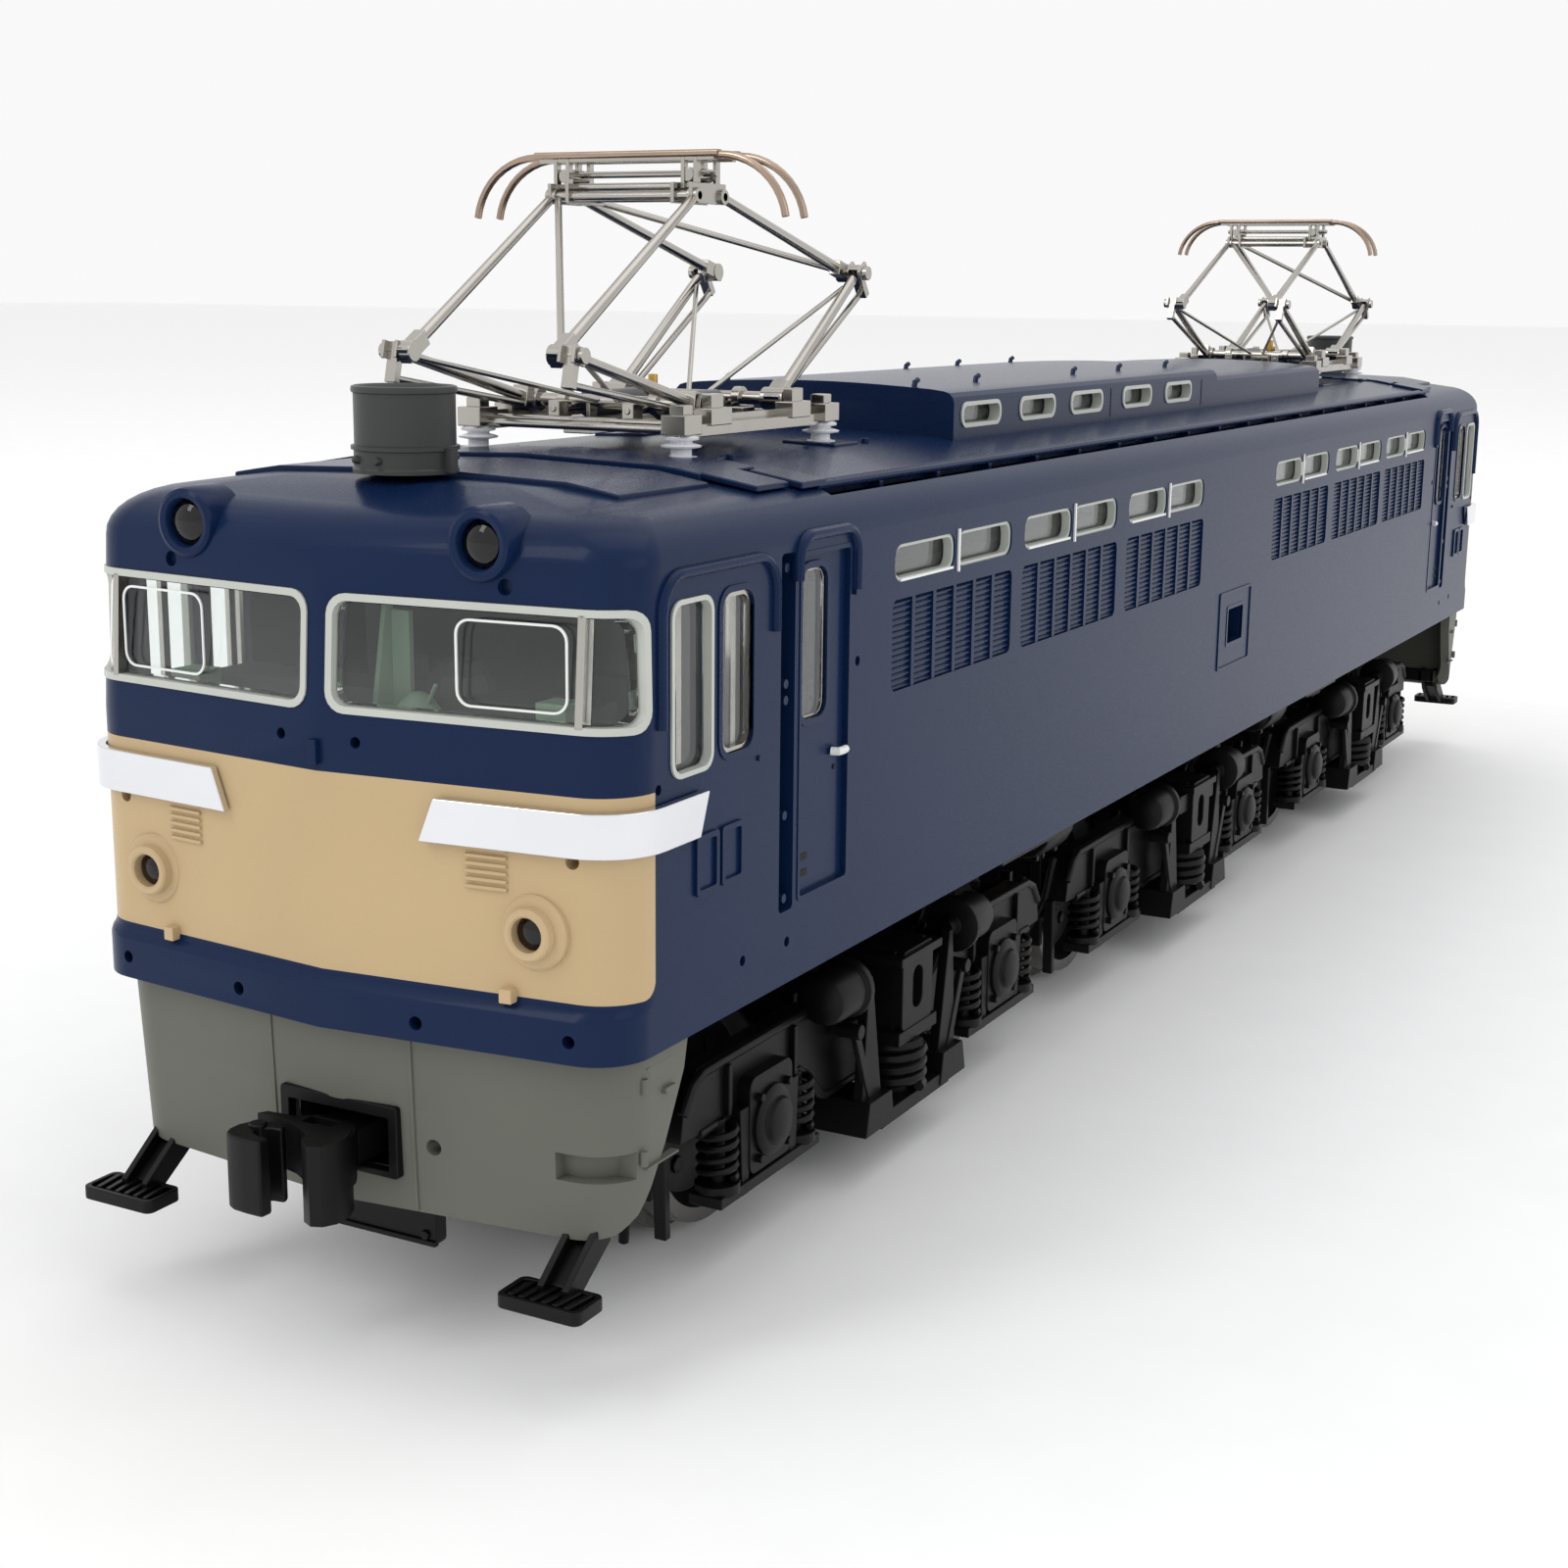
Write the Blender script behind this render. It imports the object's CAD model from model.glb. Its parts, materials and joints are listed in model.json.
import json
import math

import bmesh
import bpy
from mathutils import Matrix, Vector


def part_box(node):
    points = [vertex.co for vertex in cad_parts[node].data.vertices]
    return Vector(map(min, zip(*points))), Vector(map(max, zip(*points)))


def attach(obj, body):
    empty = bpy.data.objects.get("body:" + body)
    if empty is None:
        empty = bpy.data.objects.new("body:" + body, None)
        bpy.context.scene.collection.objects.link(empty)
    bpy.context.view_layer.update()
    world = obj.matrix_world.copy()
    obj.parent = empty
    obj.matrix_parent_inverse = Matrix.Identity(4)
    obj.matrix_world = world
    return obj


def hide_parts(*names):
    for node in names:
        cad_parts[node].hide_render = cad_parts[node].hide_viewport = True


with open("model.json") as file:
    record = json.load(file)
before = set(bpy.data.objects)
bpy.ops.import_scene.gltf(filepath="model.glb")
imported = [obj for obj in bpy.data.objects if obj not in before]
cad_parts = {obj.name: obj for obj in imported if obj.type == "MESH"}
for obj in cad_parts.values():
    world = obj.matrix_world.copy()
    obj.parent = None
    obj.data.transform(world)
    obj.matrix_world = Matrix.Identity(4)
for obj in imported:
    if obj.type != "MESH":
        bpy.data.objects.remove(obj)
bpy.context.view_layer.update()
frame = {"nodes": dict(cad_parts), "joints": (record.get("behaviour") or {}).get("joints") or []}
MM = 0.001

# ---- Places, in millimetres, read from the frame -------------------------------------------------


def node_box(name):
    low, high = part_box(name)
    return low / MM, high / MM


shell_low, shell_high = node_box("body_shell")
HALF_WIDTH = shell_high.x
VEE = 1.5
SILL_PROUD = 0.5
HALF_LENGTH = shell_high.y - VEE - SILL_PROUD
BOTTOM = shell_low.z
AXLE_Z = 7.8
SILL_TOP = 20.6
BELT = 33.0
EAVES = 42.4
ROOF_EDGE = 45.0
ROOF_TOP = 46.0
DECK_TOP = 46.3
CORNER = 3.0

# ---- Mesh helpers: a shape is a list of points in millimetres and a list of faces ---------------


def merged(*shapes):
    points, faces = [], []
    for p, f in shapes:
        start = len(points)
        points.extend(p)
        faces.extend([tuple(i + start for i in face) for face in f])
    return points, faces


def moved(shape, x=0.0, y=0.0, z=0.0):
    return [(px + x, py + y, pz + z) for px, py, pz in shape[0]], shape[1]


def mirrored(shape):
    return [(-x, y, z) for x, y, z in shape[0]], [tuple(reversed(f)) for f in shape[1]]


def turned(shape):
    return [(-x, -y, z) for x, y, z in shape[0]], shape[1]


def both_sides(*shapes):
    return merged(*shapes, *[mirrored(s) for s in shapes])


def both_ends(*shapes):
    return merged(*shapes, *[turned(s) for s in shapes])


def loft(rings, closed_ends=True):
    n = len(rings[0])
    points = [p for ring in rings for p in ring]
    faces = []
    for k in range(len(rings) - 1):
        for i in range(n):
            a = k * n + i
            b = k * n + (i + 1) % n
            faces.append((a, b, b + n, a + n))
    if closed_ends:
        faces.append(tuple(reversed(range(n))))
        faces.append(tuple(range((len(rings) - 1) * n, len(rings) * n)))
    return points, faces


def prism(outline, low, high, axis):
    """An outline run along an axis: 'x' takes (y, z) points, 'y' takes (x, z), 'z' takes (x, y)."""
    if axis == "x":
        rings = [[(w, u, v) for u, v in outline] for w in (low, high)]
    elif axis == "y":
        rings = [[(u, w, v) for u, v in outline] for w in (high, low)]
    else:
        rings = [[(u, v, w) for u, v in outline] for w in (low, high)]
    return loft(rings)


def box(x, y, z):
    return prism([(x[0], y[0]), (x[1], y[0]), (x[1], y[1]), (x[0], y[1])], z[0], z[1], "z")


def rounded(u0, u1, v0, v1, radius, steps=5):
    points = []
    corners = [(u1 - radius, v0 + radius, -0.5), (u1 - radius, v1 - radius, 0.0),
               (u0 + radius, v1 - radius, 0.5), (u0 + radius, v0 + radius, 1.0)]
    for cu, cv, start in corners:
        for k in range(steps + 1):
            angle = (start + 0.5 * k / steps) * math.pi
            points.append((cu + radius * math.cos(angle), cv + radius * math.sin(angle)))
    return points


def ring_prism(outer, inner, low, high, axis):
    """A band between two outlines of equal length."""
    n = len(outer)
    place = {"x": lambda u, v, w: (w, u, v), "y": lambda u, v, w: (u, w, v), "z": lambda u, v,
             w: (u, v, w)}[axis]
    points = [place(u, v, w) for w in (low, high) for outline in (outer, inner) for u, v in outline]
    faces = []
    for i in range(n):
        j = (i + 1) % n
        lo, li, ho, hi = 0, n, 2 * n, 3 * n
        faces += [(lo + i, lo + j, ho + j, ho + i), (li + j, li + i, hi + i, hi + j),
                  (lo + j, lo + i, li + i, li + j), (ho + i, ho + j, hi + j, hi + i)]
    if axis == "y":
        faces = [tuple(reversed(f)) for f in faces]
    return points, faces


def basis(direction):
    d = Vector(direction).normalized()
    side = d.cross(Vector((0, 0, 1)))
    if side.length < 1e-3:
        side = Vector((1, 0, 0))
    side.normalize()
    return side, d.cross(side).normalized() * -1, d


def sweep(path, radius, sides=12, flat=1.0):
    """A round or flattened bar along a path of points; radius may be one per point."""
    pts = [Vector(p) for p in path]
    radii = radius if isinstance(radius, (list, tuple)) else [radius] * len(pts)
    rings = []
    side = None
    for i, p in enumerate(pts):
        ahead = pts[min(i + 1, len(pts) - 1)] - p
        behind = p - pts[max(i - 1, 0)]
        d = (ahead.normalized() if ahead.length > 0 else Vector()) + (
            behind.normalized() if behind.length > 0 else Vector())
        d.normalize()
        if side is None:
            side = basis(d)[0]
        side = (side - d * side.dot(d)).normalized()
        up = d.cross(side)
        rings.append([tuple(p + radii[i] * (side * math.cos(a) + up * flat * math.sin(a)))
                      for a in [2 * math.pi * k / sides for k in range(sides)]])
    return loft(rings)


def bar(a, b, radius, sides=16):
    return sweep([a, b], radius, sides)


def revolve(profile, start, direction, steps=32):
    """Turns (radius, distance) points round the line from start along direction."""
    side, up, d = basis(direction)
    start = Vector(start)
    rings = []
    for r, h in profile:
        rings.append([tuple(start + d * h + r * (side * math.cos(t) - up * math.sin(t)))
                      for t in [2 * math.pi * k / steps for k in range(steps)]])
    return loft(rings)


def solid_ring(profile, start, direction, steps=32):
    """As revolve, for a closed profile that leaves a hole through the middle."""
    side, up, d = basis(direction)
    start = Vector(start)
    n = len(profile)
    points = []
    for k in range(steps):
        t = 2 * math.pi * k / steps
        out = side * math.cos(t) - up * math.sin(t)
        points += [tuple(start + d * h + out * r) for r, h in profile]
    faces = []
    for k in range(steps):
        for i in range(n):
            a, b = k * n + i, k * n + (i + 1) % n
            c, e = ((k + 1) % steps) * n + (i + 1) % n, ((k + 1) % steps) * n + i
            faces.append((a, b, c, e))
    return points, faces


def mesh_of(shape, name="shape"):
    mesh = bpy.data.meshes.new(name)
    mesh.from_pydata([Vector(p) * MM for p in shape[0]], [], shape[1])
    bm = bmesh.new()
    bm.from_mesh(mesh)
    bmesh.ops.remove_doubles(bm, verts=bm.verts, dist=1e-7)
    bmesh.ops.recalc_face_normals(bm, faces=bm.faces)
    bm.to_mesh(mesh)
    bm.free()
    return mesh


def boolean(first, second, operation):
    """The exact union, difference or intersection of two shapes, as a shape."""
    objects = []
    for shape in (first, second):
        objects.append(bpy.data.objects.new("cutting", mesh_of((
            [tuple(Vector(p) / MM) for p in shape[0]], shape[1]))))
        bpy.context.scene.collection.objects.link(objects[-1])
    a, b = objects
    modifier = a.modifiers.new("cut", "BOOLEAN")
    modifier.operation = operation
    modifier.solver = "EXACT"
    modifier.use_self = True
    modifier.object = b
    depsgraph = bpy.context.evaluated_depsgraph_get()
    result = a.evaluated_get(depsgraph).to_mesh()
    points = [tuple(v.co) for v in result.vertices]
    faces = [tuple(p.vertices) for p in result.polygons]
    a.evaluated_get(depsgraph).to_mesh_clear()
    for o in objects:
        mesh = o.data
        bpy.data.objects.remove(o)
        bpy.data.meshes.remove(mesh)
    return points, faces


# ---- Materials ----------------------------------------------------------------------------------


class Nodes:
    """A short way to write a node tree."""

    def __init__(self, name):
        self.material = bpy.data.materials.new(name)
        self.material.use_nodes = True
        self.tree = self.material.node_tree
        self.shader = self.tree.nodes["Principled BSDF"]

    def add(self, kind, inputs=(), **settings):
        node = self.tree.nodes.new(kind)
        for key, value in settings.items():
            setattr(node, key, value)
        for key, value in dict(inputs).items():
            if hasattr(value, "is_output"):
                self.tree.links.new(value, node.inputs[key])
            else:
                node.inputs[key].default_value = value
        return node

    def coordinates(self):
        return self.add("ShaderNodeTexCoord").outputs["Object"]

    def noise(self, scale, detail=3.0, vector=None):
        node = self.add("ShaderNodeTexNoise", {"Scale": scale, "Detail": detail,
                                               "Vector": vector or self.coordinates()})
        return node.outputs["Fac"]

    def spread(self, value, low, high):
        node = self.add("ShaderNodeMapRange", {"Value": value, "To Min": low, "To Max": high,
                                               "From Min": 0.3, "From Max": 0.7})
        return node.outputs["Result"]

    def mix(self, factor, a, b):
        node = self.add("ShaderNodeMix", data_type="RGBA")
        for socket, value in ((0, factor), (6, a), (7, b)):
            if hasattr(value, "is_output"):
                self.tree.links.new(value, node.inputs[socket])
            else:
                node.inputs[socket].default_value = value
        return node.outputs[2]

    def math(self, operation, a, b=0.0, c=0.0):
        node = self.add("ShaderNodeMath", operation=operation)
        for i, value in enumerate((a, b, c)):
            if hasattr(value, "is_output"):
                self.tree.links.new(value, node.inputs[i])
            else:
                node.inputs[i].default_value = value
        return node.outputs[0]

    def set(self, **values):
        for key, value in values.items():
            socket = self.shader.inputs[key.replace("_", " ")]
            if hasattr(value, "is_output"):
                self.tree.links.new(value, socket)
            else:
                socket.default_value = value

    def bump(self, height, strength, distance):
        node = self.add("ShaderNodeBump", {"Height": height, "Strength": strength, "Distance": distance})
        self.tree.links.new(node.outputs["Normal"], self.shader.inputs["Normal"])


def rgb(r, g, b):
    def linear(c):
        c /= 255
        return c / 12.92 if c <= 0.04045 else ((c + 0.055) / 1.055) ** 2.4
    return (linear(r), linear(g), linear(b), 1.0)


def scaled(colour, k):
    return (colour[0] * k, colour[1] * k, colour[2] * k, 1.0)


def finish_material(name, colour, roughness, metallic=0.0, variation=0.12, grain=9000.0, relief=0.03,
                    coat=0.0,
                    shine=0.5):
    """Moulded or painted surface with slight colour and gloss variation and a fine grain."""
    n = Nodes(name)
    at = n.coordinates()
    broad = n.noise(140.0, 3.0, at)
    fine = n.noise(grain, 2.0, at)
    n.set(Base_Color=n.mix(n.spread(broad, 0, 1), scaled(colour, 1 - variation),
                           scaled(colour, 1 + variation)),
          Roughness=n.spread(fine, max(roughness - 0.05, 0.02), roughness + 0.05), Metallic=metallic,
          Specular_IOR_Level=shine)
    if coat:
        n.set(Coat_Weight=coat, Coat_Roughness=0.08)
    n.bump(fine, relief, 0.00005)
    return n.material


NAVY = rgb(14, 33, 66)
CREAM = rgb(190, 166, 128)


def livery_material():
    """Dark blue gloss paint with the cream band round each cab end."""
    n = Nodes("livery_paint")
    at = n.coordinates()
    parts = n.add("ShaderNodeSeparateXYZ", {"Vector": at})
    x, y, z = (parts.outputs[i] for i in range(3))
    end = n.math("ABSOLUTE", y)
    low, high = 21.05 * MM, 31.55 * MM
    reach = (HALF_LENGTH - CORNER) * MM
    # Distance inside a rounded rectangle in the (end, z) plane: the band's free corners are round.
    corner = 0.9 * MM
    from_low = n.math("SUBTRACT", z, low + corner)
    from_end = n.math("SUBTRACT", end, reach + corner)
    down = n.math("MAXIMUM", n.math("MULTIPLY", from_low, -1.0), 0.0)
    back = n.math("MAXIMUM", n.math("MULTIPLY", from_end, -1.0), 0.0)
    distance = n.math("SQRT", n.math("ADD", n.math("MULTIPLY", down, down), n.math("MULTIPLY", back, back)))
    inside = n.math("LESS_THAN", distance, corner)
    below_top = n.math("LESS_THAN", z, high)
    mask = n.math("MULTIPLY", inside, below_top)
    broad = n.noise(90.0, 4.0, at)
    fine = n.noise(7000.0, 2.0, at)
    tone = n.spread(broad, 0, 1)
    blue = n.mix(tone, scaled(NAVY, 0.94), scaled(NAVY, 1.06))
    cream = n.mix(tone, scaled(CREAM, 0.97), scaled(CREAM, 1.03))
    n.set(Base_Color=n.mix(mask, blue, cream), Roughness=n.spread(fine, 0.26, 0.34),
          Specular_IOR_Level=0.1, Coat_Weight=0.07, Coat_Roughness=0.06)
    n.bump(fine, 0.015, 0.00003)
    return n.material


def clear_material(name, tint):
    n = Nodes(name)
    at = n.coordinates()
    n.set(Base_Color=tint, Roughness=n.spread(n.noise(60.0, 2.0, at), 0.015, 0.04),
          Transmission_Weight=1.0, IOR=1.45)
    n.set(Alpha=1.0)
    return n.material


livery = livery_material()
navy_plain = finish_material("navy_paint", NAVY, 0.28, variation=0.06, coat=0.07, shine=0.1)
cream_plain = finish_material("cream_paint", CREAM, 0.35, variation=0.03, shine=0.25)
frame_paint = finish_material("window_frame_paint", rgb(186, 190, 182), 0.35, variation=0.04)
white_line = finish_material("white_edge", rgb(228, 230, 228), 0.3, variation=0.03)
chrome = finish_material("bright_plating", rgb(225, 226, 230), 0.07, 1.0, 0.02, 300.0, 0.02)
grey_skirt = finish_material("skirt_grey", rgb(98, 99, 91), 0.45, variation=0.03, shine=0.25)
whistle_grey = finish_material("whistle_grey", rgb(56, 58, 57), 0.4, variation=0.05, shine=0.3)
black = finish_material("black_moulding", rgb(10, 10, 11), 0.55, variation=0.2, relief=0.08, shine=0.15)
deep_black = finish_material("recess_black", rgb(8, 8, 10), 0.8, variation=0.2)
rubber_black = finish_material("satin_black", rgb(8, 8, 9), 0.42, variation=0.2, relief=0.06, shine=0.2)
cab_green = finish_material("cab_green", rgb(158, 184, 158), 0.6, variation=0.04)
cab_dark = finish_material("cab_shade", rgb(66, 78, 68), 0.7, variation=0.08)
nickel = finish_material("nickel_silver", rgb(176, 172, 166), 0.2, 1.0, 0.05, 400.0, 0.006)
copper = finish_material("contact_strip", rgb(166, 146, 130), 0.24, 1.0, 0.12, 500.0, 0.01)
brass = finish_material("brass", rgb(196, 158, 84), 0.22, 1.0, 0.08, 900.0, 0.04)
spring_grey = finish_material("spring_barrel", rgb(64, 66, 68), 0.35, 0.3, 0.08)
insulator_white = finish_material("insulator_white", rgb(232, 233, 236), 0.25, variation=0.02)
blackened = finish_material("blackened_steel", rgb(22, 21, 21), 0.45, 0.5, 0.2, 1200.0, 0.02)
tread_steel = finish_material("tread_steel", rgb(112, 110, 108), 0.25, 1.0, 0.1, 600.0, 0.01)
board_green = finish_material("circuit_board", rgb(30, 86, 54), 0.45, variation=0.1)
acetal = finish_material("acetal", rgb(205, 198, 184), 0.45, variation=0.05)
clear = clear_material("clear_moulding", (0.93, 0.96, 0.95, 1.0))
lamp_dark = clear_material("lamp_lens", (0.03, 0.028, 0.03, 1.0))
tail_dark = clear_material("tail_lens", (0.16, 0.06, 0.05, 1.0))


def piece(name, shape, material, slot, body="locomotive", stands_for=(), bevel=0.0, angle=32.0, segments=2):
    """Makes one object from a shape, bevels its hard edges and hangs it on its body."""
    mesh = mesh_of(shape, name)
    for polygon in mesh.polygons:
        polygon.use_smooth = True
    mesh.set_sharp_from_angle(angle=math.radians(angle))
    mesh.materials.append(material)
    o = bpy.data.objects.new(name, mesh)
    bpy.context.scene.collection.objects.link(o)
    if bevel:
        m = o.modifiers.new("edges", "BEVEL")
        m.width = bevel * MM
        m.segments = segments
        m.limit_method = "ANGLE"
        m.angle_limit = math.radians(angle)
        m.harden_normals = True
        m.use_clamp_overlap = True
    else:
        o.modifiers.new("normals", "WEIGHTED_NORMAL").keep_sharp = True
    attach(o, body)
    if stands_for:
        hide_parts(*stands_for)
    return o


ENDS = (("front", lambda s: s), ("rear", turned))


def at_ends(name, shape, material, slot, stands_for="", body="locomotive", **options):
    """The same piece at the front and, turned half round, at the rear."""
    for end, place in ENDS:
        nodes = [stands_for.format(end)] if stands_for else ()
        piece(f"{name}_{end}", place(shape), material, slot, body=body.format(end), stands_for=nodes,
              **options)


# ---- Body form ----------------------------------------------------------------------------------


def plan_ring(width, length, z, radius, steps):
    skew = math.atan2(VEE, width - radius)
    points = [(0, -length - VEE, z)]

    def arc(cx, cy, first, last):
        for k in range(steps + 1):
            a = first + (last - first) * k / steps
            points.append((cx + radius * math.cos(a), cy + radius * math.sin(a), z))

    quarter = math.pi / 2
    arc(width - radius, radius - length, skew - quarter, 0)
    arc(width - radius, length - radius, 0, quarter - skew)
    points.append((0, length + VEE, z))
    arc(radius - width, length - radius, quarter + skew, math.pi)
    arc(radius - width, radius - length, math.pi, 3 * quarter - skew)
    return points


FOREHEAD_LEAN = 0.7
ROUNDING = 3.4


def body_form(inset, start=BOTTOM, sill=0.0, steps=9, top_steps=8):
    levels = [(start, 0.0, -sill)]
    if sill:
        levels += [(SILL_TOP - 0.35, 0, -sill), (SILL_TOP - 0.1, 0, -sill * 0.75),
                   (SILL_TOP + 0.15, 0, -0.1),
                   (SILL_TOP + 0.5, 0, 0)]
    levels.append((BELT, 0, 0))
    for k in range(top_steps + 1):
        a = k / top_steps * math.pi / 2 * 0.92
        fall = ROUNDING * (1 - math.cos(a))
        levels.append((EAVES + (ROOF_EDGE - inset - EAVES) * math.sin(a), fall, FOREHEAD_LEAN + fall))
    levels.append((ROOF_EDGE + (ROOF_TOP - ROOF_EDGE) * 0.72 - inset, HALF_WIDTH * 0.45, ROUNDING + 2.4))
    levels.append((ROOF_TOP - inset, HALF_WIDTH * 0.75, ROUNDING + 4.8))
    return loft([plan_ring(HALF_WIDTH - inset - x, HALF_LENGTH - inset - y, z, max(CORNER - inset, 0.8),
                           steps)
                 for z, x, y in levels])


WALL = 1.2
FRONT_WINDOW = (0.6, 34.6, 40.7)
WRAP_END = 2.7 - HALF_LENGTH


def front_window(margin, radius=1.1):
    """The windscreen's outline run through the end and round the corner, right side."""
    inner, low, high = FRONT_WINDOW
    outline = rounded(inner + margin, HALF_WIDTH + 4, low + margin, high - margin, radius)
    across = prism(outline, -HALF_LENGTH - 4, WRAP_END - margin, "y")
    side_outline = rounded(-HALF_LENGTH - 6, WRAP_END - margin, low + margin, high - margin, radius)
    along = prism(side_outline, 0, HALF_WIDTH + 4, "x")
    return boolean(across, along, "INTERSECT")


# Cab side windows and door window: y from, y to, z from, z to
CAB_WINDOWS = [(-93.46, -89.34, 31.8, 40.8), (-88.4, -85.1, 32.2, 40.6)]
DOOR_WINDOW = (-79.4, -76.35, 32.5, 40.9)
DOOR = (-79.9, -73.7, 22.4, 41.9)
RECESS = (-82.0, -80.4, 22.2, 42.0)
GROUPS = [(-68.2, -50.1), (-48.3, -30.2), (-28.1, -10.0)]
MACHINE_Z = (38.95, 41.15)
GRILLE_Z = (32.45, 37.9)


def side_cut(outline, depth):
    return prism(outline, HALF_WIDTH - depth, HALF_WIDTH + 1, "x")


side_cutters = []
for y0, y1, z0, z1 in CAB_WINDOWS + [DOOR_WINDOW]:
    side_cutters.append(side_cut(rounded(y0, y1, z0, z1, 0.9), 2.5))
side_cutters.append(side_cut(rounded(*RECESS, 0.3), 0.9))
door_pocket = side_cut(rounded(*DOOR, 0.35), 0.3)
group_cutters = []
for y0, y1 in GROUPS:
    middle = (y0 + y1) / 2
    group_cutters.append(side_cut(rounded(y0 + 0.2, middle - 0.25, *MACHINE_Z, 0.85), 2.5))
    group_cutters.append(side_cut(rounded(middle + 0.25, y1 - 0.2, *MACHINE_Z, 0.85), 2.5))
    group_cutters.append(side_cut(rounded(y0, y1, *GRILLE_Z, 0.5), 0.26))
hatch_cut = side_cut(rounded(-2.0, 2.1, 26.6, 29.5, 0.15), 2.5)
small_holes = [(-72.75, 35.0, 0.3), (-86.0, 20.6, 0.3), (-81.0, 20.4, 0.3), (-94.6, 31.6, 0.28),
               (-75.2, 42.6, 0.22)]
hole_cutters = [bar((HALF_WIDTH - 0.5, y, z), (HALF_WIDTH + 1, y, z), r, 12) for y, z, r in small_holes]
FACE = -HALF_LENGTH
front_holes = [(10.7, 41.5, 0.42), (14.58, 28.3, 0.38), (5.85, 19.0, 0.38), (14.57, 19.2, 0.35),
               (2.4, 33.2, 0.3)]
hole_cutters += [bar((x, FACE - 3, z), (x, FACE + 1.0 - VEE * (1 - x / 14.5), z), r, 14) for x, z,
                 r in front_holes]
slot_cut = prism([(13.2, 44.0), (16.2, 44.0), (16.2, 44.75), (13.2, 44.75)], -73.8, 73.8, "y")
HEAD_X, HEAD_Z, TAIL_X, TAIL_Z = 9.37, 43.5, 12.45, 24.5
lamp_cutters = [bar((HEAD_X, FACE - 3, HEAD_Z), (HEAD_X, FACE + 5, HEAD_Z), 1.25, 24),
                bar((TAIL_X, FACE - 3, TAIL_Z), (TAIL_X, FACE + 2, TAIL_Z), 0.95, 24)]
mid_window = front_window(0)
all_cutters = merged(both_sides(both_ends(merged(mid_window, *side_cutters, *group_cutters, *hole_cutters,
                                                 *lamp_cutters)), hatch_cut, slot_cut),
                     both_sides(both_ends(door_pocket)))
shell = boolean(body_form(0, sill=SILL_PROUD), body_form(WALL, BOTTOM - 2, steps=4, top_steps=3),
                "DIFFERENCE")
shell = boolean(shell, all_cutters, "DIFFERENCE")
piece("body_shell_moulding", shell, livery, "body_blue", stands_for=["body_shell"], angle=25.0)


# ---- Camera, light and floor --------------------------------------------------------------------

camera_data = bpy.data.cameras.new("view_camera")
camera_data.sensor_width = 36.0
camera_data.lens = 51.73
camera_data.clip_end = 10.0
camera = bpy.data.objects.new("view_camera", camera_data)
right = Vector((0.88076173, 0.4734465, 0.01035273))
up = Vector((-0.11102862, 0.18519783, 0.97640894))
back = right.cross(up)
turn = Matrix((right, up, back)).transposed().to_4x4()
camera.matrix_world = Matrix.Translation(Vector((73.912, -187.031, 55.874)) * MM) @ turn
bpy.context.scene.collection.objects.link(camera)
bpy.context.scene.camera = camera


def area_light(name, place, target, size, power, colour=(1, 1, 1)):
    data = bpy.data.lights.new(name, "AREA")
    data.shape = "RECTANGLE"
    data.size, data.size_y = size
    data.energy = power
    data.color = colour
    o = bpy.data.objects.new(name, data)
    o.location = place
    o.rotation_euler = (Vector(target) - Vector(place)).to_track_quat("-Z", "Y").to_euler()
    bpy.context.scene.collection.objects.link(o)
    return o


area_light("key_light", (-0.35, -0.75, 0.75), (0, -0.05, 0.03), (0.28, 0.6), 1.9)
area_light("fill_light", (0.95, -0.15, 0.5), (0, 0, 0.03), (0.8, 0.5), 0.8, (0.92, 0.95, 1.0))
area_light("top_light", (0.1, 0.15, 0.9), (0, 0.02, 0.04), (0.6, 0.9), 1.2)
world = bpy.data.worlds.new("studio")
world.use_nodes = True
world.node_tree.nodes["Background"].inputs[0].default_value = (1, 1, 1, 1)
world.node_tree.nodes["Background"].inputs[1].default_value = 0.95
bpy.context.scene.world = world
bpy.context.scene.view_settings.view_transform = "Standard"

floor_shape = ([(-4000, -4000, -0.02), (4000, -4000, -0.02), (4000, 4000, -0.02), (-4000, 4000, -0.02)],
               [(0, 1, 2, 3)])
floor_mesh = mesh_of(floor_shape, "studio_floor")
floor_mesh.materials.append(finish_material("studio_floor", (0.93, 0.93, 0.93, 1.0), 0.7, variation=0.01))
floor = bpy.data.objects.new("studio_floor", floor_mesh)
bpy.context.scene.collection.objects.link(floor)

# ---- Window frames and panes --------------------------------------------------------------------

above_belt = 30.0
frame_skin = boolean(body_form(-0.1, above_belt), body_form(0.7, above_belt - 1), "DIFFERENCE")
front_zone = front_window(0.02)
frame_band = boolean(boolean(frame_skin, front_zone, "INTERSECT"), front_window(0.4, 0.8), "DIFFERENCE")
divider = boolean(frame_skin, box((14.75, 15.15), (-110, -90), (34.9, 40.4)), "INTERSECT")
at_ends("windscreen_frames", both_sides(frame_band), frame_paint, "body_blue", angle=25.0)
at_ends("windscreen_dividers", both_sides(divider), nickel, "chrome", angle=25.0)
pane_skin = boolean(body_form(0.25, above_belt), body_form(0.85, above_belt - 1), "DIFFERENCE")
pane = boolean(pane_skin, front_window(0.5, 0.8), "INTERSECT")
flat_panes = [side_cut(rounded(y0 + 0.1, y1 - 0.1, z0 + 0.1, z1 - 0.1, 0.8), 0.75)
              for y0, y1, z0, z1 in CAB_WINDOWS + [DOOR_WINDOW]]
flat_panes = [([(min(x, HALF_WIDTH - 0.35), y, z) for x, y, z in p], f) for p, f in flat_panes]
at_ends("cab_panes", both_sides(pane, *flat_panes), clear, "clear", stands_for="cab_glazing_{}", angle=25.0)


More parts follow.
